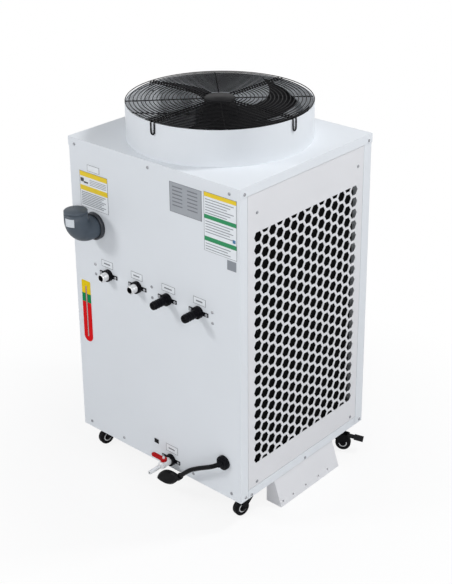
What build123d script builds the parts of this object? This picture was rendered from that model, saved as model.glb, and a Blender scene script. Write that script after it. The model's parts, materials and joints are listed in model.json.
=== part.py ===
from build123d import *
import os
from math import atan2, cos, degrees, radians, sin, tan

os.makedirs("parts", exist_ok=True)

# Recirculating water chiller: a sheet steel cabinet on four casters, with the fan
# cowl on its roof. Millimetres, +Z up. The water ports face -Y and the air grille +X.

# Cabinet
CABINET_WIDTH = 673.0
CABINET_DEPTH = 599.0
CABINET_HEIGHT = 990.0
SHEET = 1.5
ROUND_SIDES = 24
COVER_GAP = 0.2
GROOVE = 1.5
COVER_SKIRT = 28.0
FRONT_RETURN = 31.5
REAR_RETURN = 36.0
RAIL_HEIGHT = 28.5
POST_LEG = 48.0
POST_FACE = 30.0
TRAY_LIP = 18.0

# Honeycomb air grille
HEX_FLATS = 29.0
HEX_ROW_PITCH = 37.3
HEX_COLUMN_PITCH = 31.65
HEX_FIRST_COLUMN = 75.6
HEX_LOWEST_ROW = 121.3
HEX_LEAST_BORDER = 20.0
HEX_LEAST_TOP_BAND = 100.0

# Fan
COWL_EDGE = 20.5
COWL_HEIGHT = 108.0
COWL_SHEET = 2.0
GUARD_WIRE = 3.0
GUARD_RINGS = 10
GUARD_RING_SIDES = 24
GUARD_PAIR_SPACING = 14.0
GUARD_HUB_DIAMETER = 94.0
GUARD_HUB_HEIGHT = 7.0
HOOK_DROP = 36.0
MOTOR_FLANGE_SIDE = 64.0
MOTOR_FLANGE_THICKNESS = 6.0
MOTOR_NECK_DIAMETER = 60.0
MOTOR_NECK_LENGTH = 10.0
MOTOR_SHAFT_DIAMETER = 16.0
MOTOR_SHAFT_LENGTH = 40.0
ROTOR_HUB_DIAMETER = 104.0
ROTOR_HUB_LENGTH = 60.0
ROTOR_GAP = 1.0
BLADES = 5
BLADE_SHEET = 2.5
BLADE_PITCH = 18.0
BLADE_TIP_GAP = 8.0
BLADE_ROOT_CHORD = 84.0
BLADE_TIP_CHORD = 150.0
BLADE_SWEEP = 70.0
BEARING_GAP = 0.05

# Filler elbow, from the face of the port panel and along the axis of its bore
FILLER_X = 98.0
FILLER_HEIGHT = 727.0
ELBOW_DIAMETER = 72.0
ELBOW_WALL = 5.0
ELBOW_REACH = 74.0
ELBOW_RISE = 66.0
ELBOW_BEND = 45.0
ELBOW_MITRES = 5
ELBOW_TAIL = 52.0
FILLER_COLLAR_DIAMETER = 86.0
FILLER_COLLAR_THICKNESS = 12.0
CAP_THICKNESS = 8.0
CAP_PLUG_DEPTH = 16.0
CAP_PLUG_WALL = 3.0
CAP_FIT = 0.6
CAP_SEAT_GAP = 0.3

# Water ports
PORTS = 4
PORT_FIRST_X = 148.0
PORT_PITCH = 123.0
PORT_HEIGHT = 578.0
PORT_TAIL = 26.0
COLLAR_DIAMETER = 37.0
COLLAR_THICKNESS = 12.0
COLLAR_EAR_SPAN = 62.0
COLLAR_EAR_WIDTH = 12.0
COLLAR_EAR_THICKNESS = 2.5
PORT_SHANK_DIAMETER = 25.0
NIPPLE_DIAMETER = 26.4
NIPPLE_BORE = 20.0
NIPPLE_REACH = 34.0
BARB_DIAMETER = 24.0
BARB_RIDGE = 1.4
BARB_RIDGES = 3
BARB_RIDGE_PITCH = 13.0
BARB_BORE = 18.0
BARB_REACH = 62.0

# Drain valve
DRAIN_X = 391.0
DRAIN_HEIGHT = 31.0
VALVE_BODY_DIAMETER = 24.0
VALVE_BODY_REACH = 46.0
NOZZLE_DIAMETER = 13.0
NOZZLE_BORE = 8.0
NOZZLE_REACH = 95.0
STEM_DIAMETER = 8.0
STEM_HEIGHT = 24.0
STEM_REACH = 33.0
LEVER_HUB_DIAMETER = 20.0
LEVER_LENGTH = 49.0
LEVER_WIDTH = 13.0
LEVER_THICKNESS = 7.0
LEVER_FLOAT = 0.3

# Level gauge
GAUGE_X = 41.75
GAUGE_BOTTOM = 315.0
GAUGE_TOP = 526.0
GAUGE_WIDTH = 38.5
GAUGE_CORNER = 4.0
GAUGE_PLATE = 1.0
GAUGE_SLOT_WIDTH = 7.0
GAUGE_SLOT_BOTTOM = 332.5
GAUGE_SLOT_TOP = 508.5
WINDOW_FLANGE = 6.0
WINDOW_FLANGE_THICKNESS = 3.0

# Blanking plug
PLUG_X = 330.0
PLUG_HEIGHT = 70.5
PLUG_WIDTH = 17.0
PLUG_RISE = 14.0
PLUG_LAP = 1.5

# Mains lead. The route is given as x, reach and height on the port panel.
GLAND_X = 608.0
GLAND_HEIGHT = 117.0
GLAND_DIAMETER = 44.0
GLAND_FLANGE = 9.0
GLAND_DOME_DIAMETER = 34.0
GLAND_DOME_REACH = 14.0
GLAND_DOME_TAPER = 25.0
GLAND_TAIL_DIAMETER = 26.0
GLAND_TAIL = 14.0
SPIGOT_DIAMETER = 18.0
SPIGOT_LENGTH = 14.0
CORD_DIAMETER = 14.0
CORD_ROUTE = (
    (600.3, 20.5, 113.6),
    (592.0, 29.7, 110.0),
    (571.5, 29.5, 97.5),
    (531.0, 28.5, 75.5),
    (488.0, 28.0, 48.5),
    (454.0, 27.0, 13.0),
)
CORD_BEND_SHARE = 0.45
BOOT_TIP = (356.0, 27.0, -36.0)
BOOT_WIDTH = 45.0
BOOT_THICKNESS = 16.0
BOOT_EDGE = 5.0
BOOT_SLEEVE_DIAMETER = 20.0
BOOT_SLEEVE_LENGTH = 16.0

# Stand: casters, the rails they are bolted to, and the foot brackets
CASTER_HEIGHT = 70.0
CASTER_RAIL_HEIGHT = 16.0
CASTER_RAIL_WIDTH = 64.0
CASTER_INSET_X = 43.5
CASTER_INSET_Y = 75.0
CASTER_PLATE_LENGTH = 56.0
CASTER_PLATE_WIDTH = 50.0
CASTER_PLATE_SHEET = 2.5
CASTER_CUP_DIAMETER = 36.0
CASTER_CUP_HEIGHT = 7.0
KINGPIN_DIAMETER = 8.0
KINGPIN_HEAD_DIAMETER = 14.0
KINGPIN_HEAD = 2.5
SWIVEL_GAP = 0.3
CASTER_TRAIL = 22.0
WHEEL_DIAMETER = 50.0
WHEEL_WIDTH = 20.0
WHEEL_SIDE_GAP = 1.0
FORK_SHEET = 2.5
FORK_NOSE_DIAMETER = 16.0
AXLE_DIAMETER = 6.0
AXLE_HEAD_DIAMETER = 11.0
AXLE_HEAD = 2.5
FRONT_YAW = -101.0
REAR_YAW = 28.6
PEDAL_PIVOT_X = 38.0
PEDAL_PIVOT_HEIGHT = 51.0
PEDAL_PIN_DIAMETER = 4.0
PEDAL_BARREL_DIAMETER = 8.0
PEDAL_LENGTH = 50.0
PEDAL_SLOPE = 10.0
PEDAL_WIDTH = 30.0
PEDAL_SHEET = 3.0
BRACKET_LENGTH = 288.0
BRACKET_SHEET = 2.0
BRACKET_FLOOR_GAP = 1.0
BRACKET_INNER = 32.0
BRACKET_TOP = 4.0
BRACKET_FOOT = 26.0
BRACKET_HOLE = 6.0
BRACKET_HOLE_RISE = 14.0
BRACKET_HOLES = (15.0, 62.7, 125.7, 188.0, 235.0)

# Inside the cabinet
COIL_THICKNESS = 44.0
COIL_LENGTH = 440.0
COIL_HEIGHT = 836.0
COIL_FOOT = 26.0
COIL_PANEL_GAP = 6.0
COIL_PLATE = 3.0
COIL_PLATE_OVERHANG = 8.0
COMPRESSOR_X = 430.0
COMPRESSOR_Y = 300.0
COMPRESSOR_DIAMETER = 150.0
COMPRESSOR_HEIGHT = 250.0
COMPRESSOR_SHOULDER = 24.0
COMPRESSOR_FOOT = 180.0
COMPRESSOR_FOOT_SHEET = 4.0
TANK_LEFT = 20.0
TANK_WIDTH = 230.0
TANK_PANEL_GAP = 34.0
TANK_DEPTH = 310.0
TANK_BOTTOM = 290.0
TANK_TOP = 790.0
TANK_WALL = 5.0
STAND_SHEET = 2.0
PUMP_FIRST_X = 78.0
PUMP_PITCH = 110.0
PUMP_Y = 70.0
PUMP_FOOT_HEIGHT = 14.0
PUMP_MOTOR_DIAMETER = 92.0
PUMP_MOTOR_LENGTH = 130.0
PUMP_VOLUTE_DIAMETER = 104.0
PUMP_VOLUTE_LENGTH = 42.0
EXCHANGER_X = 300.0
EXCHANGER_Y = 60.0
EXCHANGER_WIDTH = 76.0
EXCHANGER_DEPTH = 56.0
EXCHANGER_HEIGHT = 210.0
ELECTRICAL_WIDTH = 300.0
ELECTRICAL_DEPTH = 110.0
ELECTRICAL_HEIGHT = 320.0
ELECTRICAL_BOTTOM = 500.0
CONTROLLER_WIDTH = 150.0
CONTROLLER_RISE = 90.0
CONTROLLER_DEPTH = 40.0
CONTROLLER_BEZEL = 5.0
CONTROLLER_BEZEL_LAP = 5.0
CONTROLLER_HEIGHT = 900.0

# Places that follow from the sizes above. The origin is under the middle of the
# bounding box, which reaches from the filler elbow to the back of the top cover.
COVER_LAP = SHEET + COVER_GAP
HALF_WIDTH = CABINET_WIDTH / 2
STAND_HEIGHT = CASTER_HEIGHT + CASTER_RAIL_HEIGHT
FRONT_REACH = ELBOW_REACH + ELBOW_DIAMETER / 2
PORT_FACE = (FRONT_REACH - CABINET_DEPTH - COVER_LAP) / 2
BACK_FACE = PORT_FACE + CABINET_DEPTH
PORT_INSIDE = PORT_FACE + SHEET
BACK_INSIDE = BACK_FACE - SHEET
SIDE_INSIDE = HALF_WIDTH - SHEET
FAN_CENTRE = (0.0, PORT_FACE + CABINET_DEPTH / 2)
TOP = STAND_HEIGHT + CABINET_HEIGHT
COVER_UNDERSIDE = TOP - SHEET
TRAY_FLOOR = STAND_HEIGHT + SHEET
SIDE_FRONT = PORT_FACE + FRONT_RETURN + GROOVE
SIDE_BACK = BACK_FACE - REAR_RETURN - GROOVE
SIDE_BOTTOM = STAND_HEIGHT + RAIL_HEIGHT + GROOVE
SIDE_TOP = TOP - COVER_SKIRT - GROOVE
COWL_RADIUS = CABINET_DEPTH / 2 - COWL_EDGE
COWL_BORE_RADIUS = COWL_RADIUS - COWL_SHEET
RIM = TOP + COWL_HEIGHT


def on_port_panel(x, height, reach=0.0):
    """Point at a place on the port panel and a reach in front of it."""
    return (x - HALF_WIDTH, PORT_FACE - reach, STAND_HEIGHT + height)


def port_plane(x, height, reach=0.0):
    """Plane parallel to the port panel and facing away from it."""
    return Plane(origin=on_port_panel(x, height, reach), x_dir=(1, 0, 0), z_dir=(0, -1, 0))


def level_plane(z, x=0.0, y=0.0, yaw=0.0):
    """Level plane, turned about the vertical."""
    return Plane(origin=(x, y, z), x_dir=(cos(radians(yaw)), sin(radians(yaw)), 0), z_dir=(0, 0, 1))


def upright_plane(x, y, yaw, across=0.0):
    """Upright plane whose x runs along a heading and whose y is height above the floor."""
    along = (cos(radians(yaw)), sin(radians(yaw)), 0)
    normal = (along[1], -along[0], 0)
    return Plane(origin=(x + across * normal[0], y + across * normal[1], 0), x_dir=along, z_dir=normal)


def finish(solid, name):
    """Name a piece and write it to its file."""
    solid.label = name
    export_step(solid, f"parts/{name}.step")


# Base tray: a pan that fills the cabinet's foot, with a rail turned up along each
# side between the corners and a low lip behind the port panel and the front panel.
with BuildPart() as base_tray:
    with BuildSketch(Plane.XY.offset(STAND_HEIGHT)):
        with Locations(FAN_CENTRE):
            Rectangle(2 * SIDE_INSIDE, BACK_INSIDE - PORT_INSIDE)
        with Locations((0, (SIDE_FRONT + SIDE_BACK) / 2)):
            Rectangle(CABINET_WIDTH, SIDE_BACK - SIDE_FRONT)
    extrude(amount=SHEET)
    with BuildSketch(Plane.XY.offset(STAND_HEIGHT)):
        for side in (-1, 1):
            with Locations((side * (HALF_WIDTH - SHEET / 2), (SIDE_FRONT + SIDE_BACK) / 2)):
                Rectangle(SHEET, SIDE_BACK - SIDE_FRONT)
    extrude(amount=RAIL_HEIGHT)
    with BuildSketch(Plane.XY.offset(STAND_HEIGHT)):
        for y in (PORT_INSIDE + SHEET / 2, BACK_INSIDE - SHEET / 2):
            with Locations((0, y)):
                Rectangle(2 * (SIDE_INSIDE - POST_FACE - SHEET), SHEET)
    extrude(amount=TRAY_LIP)
finish(base_tray.part, "base_tray")

# Corner posts: angles that stand on the tray in the folded corners and carry the
# top cover. Their long legs back the edges of the side panels.
for end, face, inward in (("port", PORT_INSIDE, 1), ("back", BACK_INSIDE, -1)):
    for side, hand in ((-1, "left"), (1, "right")):
        edge = side * SIDE_INSIDE
        with BuildPart() as corner_post:
            with BuildSketch(Plane.XY.offset(TRAY_FLOOR)):
                with BuildLine():
                    Polyline(
                        (edge, face + inward * POST_LEG),
                        (edge, face),
                        (edge - side * POST_FACE, face),
                        (edge - side * POST_FACE, face + inward * SHEET),
                        (edge - side * SHEET, face + inward * SHEET),
                        (edge - side * SHEET, face + inward * POST_LEG),
                        close=True,
                    )
                make_face()
            extrude(amount=COVER_UNDERSIDE - TRAY_FLOOR)
        finish(corner_post.part, f"corner_post_{end}_{hand}")


def folded_panel(face, inward, corner_return):
    """Plan of a sheet with a return folded round each corner of the cabinet."""
    with BuildSketch(Plane.XY.offset(STAND_HEIGHT), mode=Mode.PRIVATE) as plan:
        with BuildLine():
            Polyline(
                (-HALF_WIDTH, face + inward * corner_return),
                (-HALF_WIDTH, face),
                (HALF_WIDTH, face),
                (HALF_WIDTH, face + inward * corner_return),
                (SIDE_INSIDE, face + inward * corner_return),
                (SIDE_INSIDE, face + inward * SHEET),
                (-SIDE_INSIDE, face + inward * SHEET),
                (-SIDE_INSIDE, face + inward * corner_return),
                close=True,
            )
        make_face()
    return plan.sketch


# Port panel: folded round both corners and punched for the filler, the ports, the
# drain, the cable gland, the level window and a knock-out.
port_places = [(PORT_FIRST_X + index * PORT_PITCH, PORT_HEIGHT) for index in range(PORTS)]
with BuildPart() as port_panel:
    add(folded_panel(PORT_FACE, 1, FRONT_RETURN))
    extrude(amount=CABINET_HEIGHT - SHEET)
    with BuildSketch(port_plane(0, 0)):
        with Locations((FILLER_X, FILLER_HEIGHT)):
            Circle(ELBOW_DIAMETER / 2)
        with Locations(port_places):
            Circle(PORT_SHANK_DIAMETER / 2)
        with Locations((DRAIN_X, DRAIN_HEIGHT)):
            Circle(VALVE_BODY_DIAMETER / 2)
        with Locations((GLAND_X, GLAND_HEIGHT)):
            Circle(GLAND_TAIL_DIAMETER / 2)
        with Locations((GAUGE_X, (GAUGE_SLOT_BOTTOM + GAUGE_SLOT_TOP) / 2)):
            Rectangle(GAUGE_SLOT_WIDTH, GAUGE_SLOT_TOP - GAUGE_SLOT_BOTTOM)
        with Locations((PLUG_X, PLUG_HEIGHT)):
            Rectangle(PLUG_WIDTH - 2 * PLUG_LAP, PLUG_RISE - 2 * PLUG_LAP)
    extrude(amount=-SHEET, mode=Mode.SUBTRACT)
finish(port_panel.part, "port_panel")

# Front panel on the far side: folded alike, with the cut-out for the controller
with BuildPart() as front_panel:
    add(folded_panel(BACK_FACE, -1, REAR_RETURN))
    extrude(amount=CABINET_HEIGHT - SHEET)
    with BuildSketch(Plane.XZ.offset(-BACK_FACE)):
        with Locations((0, STAND_HEIGHT + CONTROLLER_HEIGHT)):
            Rectangle(CONTROLLER_WIDTH, CONTROLLER_RISE)
    extrude(amount=SHEET, mode=Mode.SUBTRACT)
finish(front_panel.part, "front_panel")

# Controller: a closed case pushed into its cut-out from outside, up to its bezel
with BuildPart() as controller:
    with BuildSketch(Plane.XZ.offset(-BACK_FACE)):
        with Locations((0, STAND_HEIGHT + CONTROLLER_HEIGHT)):
            Rectangle(CONTROLLER_WIDTH, CONTROLLER_RISE)
    extrude(amount=CONTROLLER_DEPTH)
    with BuildSketch(Plane.XZ.offset(-BACK_FACE)):
        with Locations((0, STAND_HEIGHT + CONTROLLER_HEIGHT)):
            Rectangle(CONTROLLER_WIDTH + 2 * CONTROLLER_BEZEL_LAP, CONTROLLER_RISE + 2 * CONTROLLER_BEZEL_LAP)
    extrude(amount=-COVER_LAP)
finish(controller.part, "controller")


def hexagon(y, z, low, high):
    """Flat-topped hexagon about a centre, cut off level at a lowest and highest line."""
    half = HEX_FLATS / 2
    corner = HEX_FLATS / 3**0.5
    levels = sorted({max(low, z - half), min(high, z + half)} | ({z} if low < z < high else set()))
    widths = [corner * (1 - abs(level - z) / HEX_FLATS) for level in levels]
    rising = [Vector(y + width, level, 0) for width, level in zip(widths, levels)]
    falling = [Vector(y - width, level, 0) for width, level in zip(widths[::-1], levels[::-1])]
    return Wire.make_polygon(rising + falling, close=True)


# Grille panel: staggered columns of hexagons, the last half-hexagons of each second
# column cut off level with their neighbours, as in a punched plate.
first_column = PORT_FACE + HEX_FIRST_COLUMN
lowest_row = STAND_HEIGHT + HEX_LOWEST_ROW
last_column = SIDE_BACK - HEX_LEAST_BORDER - HEX_FLATS / 3**0.5
highest_row = SIDE_TOP - HEX_LEAST_TOP_BAND - HEX_FLATS / 2
columns = 1 + int((last_column - first_column) / HEX_COLUMN_PITCH)
rows = 1 + int((highest_row - lowest_row) / HEX_ROW_PITCH)
field_low = lowest_row - HEX_FLATS / 2
field_high = field_low + (rows - 1) * HEX_ROW_PITCH + HEX_FLATS
openings = []
for column in range(columns):
    stagger = column % 2
    for row in range(rows + stagger):
        across = first_column + column * HEX_COLUMN_PITCH
        up = lowest_row + (row - stagger / 2) * HEX_ROW_PITCH
        openings.append(hexagon(across, up, field_low, field_high))
grille_edge = Wire.make_polygon(
    [
        Vector(SIDE_FRONT, SIDE_BOTTOM, 0),
        Vector(SIDE_BACK, SIDE_BOTTOM, 0),
        Vector(SIDE_BACK, SIDE_TOP, 0),
        Vector(SIDE_FRONT, SIDE_TOP, 0),
    ],
    close=True,
)
with BuildPart() as grille_panel:
    with BuildSketch(Plane.YZ.offset(HALF_WIDTH)):
        add(Face(grille_edge, openings))
    extrude(amount=-SHEET)
finish(grille_panel.part, "grille_panel")

# Plain side panel on the other side
with BuildPart() as side_panel:
    with BuildSketch(Plane.YZ.offset(-HALF_WIDTH)):
        with Locations(((SIDE_FRONT + SIDE_BACK) / 2, (SIDE_BOTTOM + SIDE_TOP) / 2)):
            Rectangle(SIDE_BACK - SIDE_FRONT, SIDE_TOP - SIDE_BOTTOM)
    extrude(amount=SHEET)
finish(side_panel.part, "side_panel")

# Top cover: a folded lid whose skirt laps the panels, open under the fan
with BuildPart() as top_cover:
    with BuildSketch(Plane.XY.offset(TOP)):
        with Locations(FAN_CENTRE):
            Rectangle(CABINET_WIDTH + 2 * COVER_LAP, CABINET_DEPTH + 2 * COVER_LAP)
    extrude(amount=-COVER_SKIRT)
    with BuildSketch(Plane.XY.offset(COVER_UNDERSIDE)):
        with Locations(FAN_CENTRE):
            Rectangle(CABINET_WIDTH + 2 * COVER_GAP, CABINET_DEPTH + 2 * COVER_GAP)
    extrude(amount=-COVER_SKIRT, mode=Mode.SUBTRACT)
    with BuildSketch(Plane.XY.offset(TOP)):
        with Locations(FAN_CENTRE):
            Circle(COWL_BORE_RADIUS)
    extrude(amount=-SHEET, mode=Mode.SUBTRACT)
finish(top_cover.part, "top_cover")

# Fan cowl: a rolled ring that stands round the opening
with BuildPart() as fan_cowl:
    with BuildSketch(Plane.XY.offset(TOP)):
        with Locations(FAN_CENTRE):
            Circle(COWL_RADIUS)
            Circle(COWL_BORE_RADIUS, mode=Mode.SUBTRACT)
    extrude(amount=COWL_HEIGHT)
finish(fan_cowl.part, "fan_cowl")

# Fan guard: a hub plate and rings of wire welded on top of the spokes. Four spokes
# are pairs that turn down over the rim and are joined below, where a screw goes
# between them, and four are single wires.
ring_pitch = (COWL_RADIUS - GUARD_HUB_DIAMETER / 2) / GUARD_RINGS
spoke_start = GUARD_HUB_DIAMETER / 4
guard_wires = []
for index in range(GUARD_RINGS):
    outer = COWL_RADIUS - index * ring_pitch
    with BuildPart() as ring:
        with BuildSketch(level_plane(RIM + GUARD_WIRE, *FAN_CENTRE)):
            RegularPolygon(outer, GUARD_RING_SIDES)
            RegularPolygon(outer - GUARD_WIRE, GUARD_RING_SIDES, mode=Mode.SUBTRACT)
        extrude(amount=GUARD_WIRE)
    guard_wires.append(ring.part)
for quarter in range(4):
    with BuildPart() as spoke_pair:
        with BuildSketch(level_plane(RIM, *FAN_CENTRE, 90 * quarter)):
            for offset in (-GUARD_PAIR_SPACING / 2, GUARD_PAIR_SPACING / 2):
                with Locations(((spoke_start + COWL_RADIUS + GUARD_WIRE) / 2, offset)):
                    Rectangle(COWL_RADIUS + GUARD_WIRE - spoke_start, GUARD_WIRE)
        extrude(amount=GUARD_WIRE)
        with BuildSketch(level_plane(RIM + GUARD_WIRE, *FAN_CENTRE, 90 * quarter)):
            for offset in (-GUARD_PAIR_SPACING / 2, GUARD_PAIR_SPACING / 2):
                with Locations((COWL_RADIUS + GUARD_WIRE / 2, offset)):
                    Rectangle(GUARD_WIRE, GUARD_WIRE)
        extrude(amount=-HOOK_DROP)
        with BuildSketch(level_plane(RIM + GUARD_WIRE - HOOK_DROP, *FAN_CENTRE, 90 * quarter)):
            with Locations((COWL_RADIUS + GUARD_WIRE / 2, 0)):
                Rectangle(GUARD_WIRE, GUARD_PAIR_SPACING + GUARD_WIRE)
        extrude(amount=GUARD_WIRE)
    with BuildPart() as single_spoke:
        with BuildSketch(level_plane(RIM, *FAN_CENTRE, 90 * quarter + 45)):
            with Locations(((spoke_start + COWL_RADIUS) / 2, 0)):
                Rectangle(COWL_RADIUS - spoke_start, GUARD_WIRE)
        extrude(amount=GUARD_WIRE)
    guard_wires += [spoke_pair.part, single_spoke.part]
with BuildPart() as hub_plate:
    with BuildSketch(level_plane(RIM + GUARD_WIRE, *FAN_CENTRE)):
        Circle(GUARD_HUB_DIAMETER / 2)
    extrude(amount=GUARD_HUB_HEIGHT)
guard_wires.append(hub_plate.part)
finish(Compound([solid for wire in guard_wires for solid in wire.solids()]), "fan_guard")

# Fan motor: hangs by its flange under the guard's hub
rotor_top = RIM - MOTOR_FLANGE_THICKNESS - MOTOR_NECK_LENGTH - ROTOR_GAP
with BuildPart() as fan_motor:
    with BuildSketch(level_plane(RIM, *FAN_CENTRE)):
        Rectangle(MOTOR_FLANGE_SIDE, MOTOR_FLANGE_SIDE)
    extrude(amount=-MOTOR_FLANGE_THICKNESS)
    with BuildSketch(level_plane(RIM - MOTOR_FLANGE_THICKNESS, *FAN_CENTRE)):
        RegularPolygon(MOTOR_NECK_DIAMETER / 2, ROUND_SIDES)
    extrude(amount=-MOTOR_NECK_LENGTH)
    with BuildSketch(level_plane(rotor_top + ROTOR_GAP, *FAN_CENTRE)):
        Circle(MOTOR_SHAFT_DIAMETER / 2)
    extrude(amount=-MOTOR_SHAFT_LENGTH)
finish(fan_motor.part, "fan_motor")

# Fan rotor: sickle blades set at a pitch on a drum that turns on the motor's shaft
blade_tip = COWL_BORE_RADIUS - BLADE_TIP_GAP
blade_root = ROTOR_HUB_DIAMETER / 2 - BLADE_SHEET
tip_half_angle = BLADE_TIP_CHORD / blade_tip / 2
sweep_angle = BLADE_SWEEP / blade_tip
with BuildPart() as fan_rotor:
    for index in range(BLADES):
        turn = 360 / BLADES * index
        radial = (cos(radians(turn)), sin(radians(turn)), 0)
        normal = (
            sin(radians(BLADE_PITCH)) * radial[1],
            -sin(radians(BLADE_PITCH)) * radial[0],
            cos(radians(BLADE_PITCH)),
        )
        middle = (*FAN_CENTRE, rotor_top - ROTOR_HUB_LENGTH / 2)
        with BuildSketch(Plane(origin=middle, x_dir=radial, z_dir=normal)):
            leading = (blade_tip * cos(sweep_angle + tip_half_angle), blade_tip * sin(sweep_angle + tip_half_angle))
            trailing = (blade_tip * cos(sweep_angle - tip_half_angle), blade_tip * sin(sweep_angle - tip_half_angle))
            with BuildLine():
                Line((blade_root, -BLADE_ROOT_CHORD / 2), (blade_root, BLADE_ROOT_CHORD / 2))
                ThreePointArc((blade_root, BLADE_ROOT_CHORD / 2), (blade_tip / 1.6, BLADE_ROOT_CHORD / 3), leading)
                ThreePointArc(leading, (blade_tip * cos(sweep_angle), blade_tip * sin(sweep_angle)), trailing)
                ThreePointArc(trailing, (blade_tip / 1.6, -BLADE_ROOT_CHORD / 1.5), (blade_root, -BLADE_ROOT_CHORD / 2))
            make_face()
        extrude(amount=BLADE_SHEET / 2, both=True)
    with BuildSketch(level_plane(rotor_top, *FAN_CENTRE)):
        Circle(ROTOR_HUB_DIAMETER / 2)
    extrude(amount=-ROTOR_HUB_LENGTH)
    with BuildSketch(level_plane(rotor_top, *FAN_CENTRE)):
        Circle(MOTOR_SHAFT_DIAMETER / 2 + BEARING_GAP)
    extrude(amount=-MOTOR_SHAFT_LENGTH, mode=Mode.SUBTRACT)
finish(fan_rotor.part, "fan_rotor")

# Condenser coil: a block of fins between two end plates that stand on the tray,
# close behind the grille
coil_outside = SIDE_INSIDE - COIL_PANEL_GAP
coil_front = FAN_CENTRE[1] - COIL_LENGTH / 2
with BuildPart() as condenser_coil:
    with BuildSketch(Plane.XY.offset(TRAY_FLOOR + COIL_FOOT)):
        with Locations((coil_outside - COIL_THICKNESS / 2, FAN_CENTRE[1])):
            Rectangle(COIL_THICKNESS, COIL_LENGTH)
    extrude(amount=COIL_HEIGHT)
    with BuildSketch(Plane.XY.offset(TRAY_FLOOR)):
        for y in (coil_front - COIL_PLATE / 2, coil_front + COIL_LENGTH + COIL_PLATE / 2):
            with Locations((coil_outside - COIL_THICKNESS / 2 - COIL_PLATE_OVERHANG / 2, y)):
                Rectangle(COIL_THICKNESS + COIL_PLATE_OVERHANG, COIL_PLATE)
    extrude(amount=COIL_FOOT + COIL_HEIGHT + COIL_PLATE_OVERHANG)
finish(condenser_coil.part, "condenser_coil")

# Compressor: a welded can on a square foot
compressor_place = (COMPRESSOR_X - HALF_WIDTH, PORT_FACE + COMPRESSOR_Y)
with BuildPart() as compressor:
    with BuildSketch(level_plane(TRAY_FLOOR, *compressor_place)):
        Rectangle(COMPRESSOR_FOOT, COMPRESSOR_FOOT)
    extrude(amount=COMPRESSOR_FOOT_SHEET)
    with BuildSketch(level_plane(TRAY_FLOOR, *compressor_place)):
        RegularPolygon(COMPRESSOR_DIAMETER / 2, ROUND_SIDES)
    extrude(amount=COMPRESSOR_HEIGHT)
    chamfer(compressor.faces().sort_by(Axis.Z)[-1].edges(), COMPRESSOR_SHOULDER)
finish(compressor.part, "compressor")

# Water tank: a closed moulded box with a socket for the filler elbow
tank_front = PORT_INSIDE + TANK_PANEL_GAP
tank_centre = (TANK_LEFT + TANK_WIDTH / 2 - HALF_WIDTH, tank_front + TANK_DEPTH / 2)
with BuildPart() as water_tank:
    with BuildSketch(level_plane(STAND_HEIGHT + TANK_BOTTOM, *tank_centre)):
        Rectangle(TANK_WIDTH, TANK_DEPTH)
    extrude(amount=TANK_TOP - TANK_BOTTOM)
    with BuildSketch(level_plane(STAND_HEIGHT + TANK_BOTTOM + TANK_WALL, *tank_centre)):
        Rectangle(TANK_WIDTH - 2 * TANK_WALL, TANK_DEPTH - 2 * TANK_WALL)
    extrude(amount=TANK_TOP - TANK_BOTTOM - 2 * TANK_WALL, mode=Mode.SUBTRACT)
    with BuildSketch(port_plane(FILLER_X, FILLER_HEIGHT, PORT_FACE - tank_front)):
        Circle(ELBOW_DIAMETER / 2)
    extrude(amount=-TANK_WALL, mode=Mode.SUBTRACT)
finish(water_tank.part, "water_tank")

# Tank stand: a sheet bent down at both sides, over the pumps
with BuildPart() as tank_stand:
    with BuildSketch(level_plane(TRAY_FLOOR, *tank_centre)):
        Rectangle(TANK_WIDTH, TANK_DEPTH)
    extrude(amount=STAND_HEIGHT + TANK_BOTTOM - TRAY_FLOOR)
    with BuildSketch(level_plane(TRAY_FLOOR, *tank_centre)):
        Rectangle(TANK_WIDTH - 2 * STAND_SHEET, TANK_DEPTH)
    extrude(amount=STAND_HEIGHT + TANK_BOTTOM - TRAY_FLOOR - STAND_SHEET, mode=Mode.SUBTRACT)
finish(tank_stand.part, "tank_stand")

# Circulation pumps, one for each water circuit, standing side by side on the tray
pump_axis = TRAY_FLOOR + PUMP_FOOT_HEIGHT + PUMP_VOLUTE_DIAMETER / 2
with BuildPart() as circulation_pumps:
    for index in range(2):
        x = PUMP_FIRST_X + index * PUMP_PITCH - HALF_WIDTH
        volute = Plane(origin=(x, PORT_FACE + PUMP_Y, pump_axis), x_dir=(1, 0, 0), z_dir=(0, 1, 0))
        with BuildSketch(volute):
            RegularPolygon(PUMP_VOLUTE_DIAMETER / 2, ROUND_SIDES)
        extrude(amount=PUMP_VOLUTE_LENGTH)
        with BuildSketch(volute.offset(PUMP_VOLUTE_LENGTH)):
            RegularPolygon(PUMP_MOTOR_DIAMETER / 2, ROUND_SIDES)
        extrude(amount=PUMP_MOTOR_LENGTH)
        with BuildSketch(level_plane(TRAY_FLOOR, x, PORT_FACE + PUMP_Y)):
            with Locations((0, (PUMP_VOLUTE_LENGTH + PUMP_MOTOR_LENGTH) / 2)):
                Rectangle(PUMP_MOTOR_DIAMETER / 2, (PUMP_VOLUTE_LENGTH + PUMP_MOTOR_LENGTH) / 2)
        extrude(amount=pump_axis - TRAY_FLOOR)
finish(circulation_pumps.part, "circulation_pumps")

# Plate heat exchanger between the water and the refrigerant
with BuildPart() as heat_exchanger:
    exchanger_place = (EXCHANGER_X + EXCHANGER_WIDTH / 2 - HALF_WIDTH, PORT_FACE + EXCHANGER_Y + EXCHANGER_DEPTH / 2)
    with BuildSketch(level_plane(TRAY_FLOOR, *exchanger_place)):
        Rectangle(EXCHANGER_WIDTH, EXCHANGER_DEPTH)
    extrude(amount=EXCHANGER_HEIGHT)
finish(heat_exchanger.part, "heat_exchanger")

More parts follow.
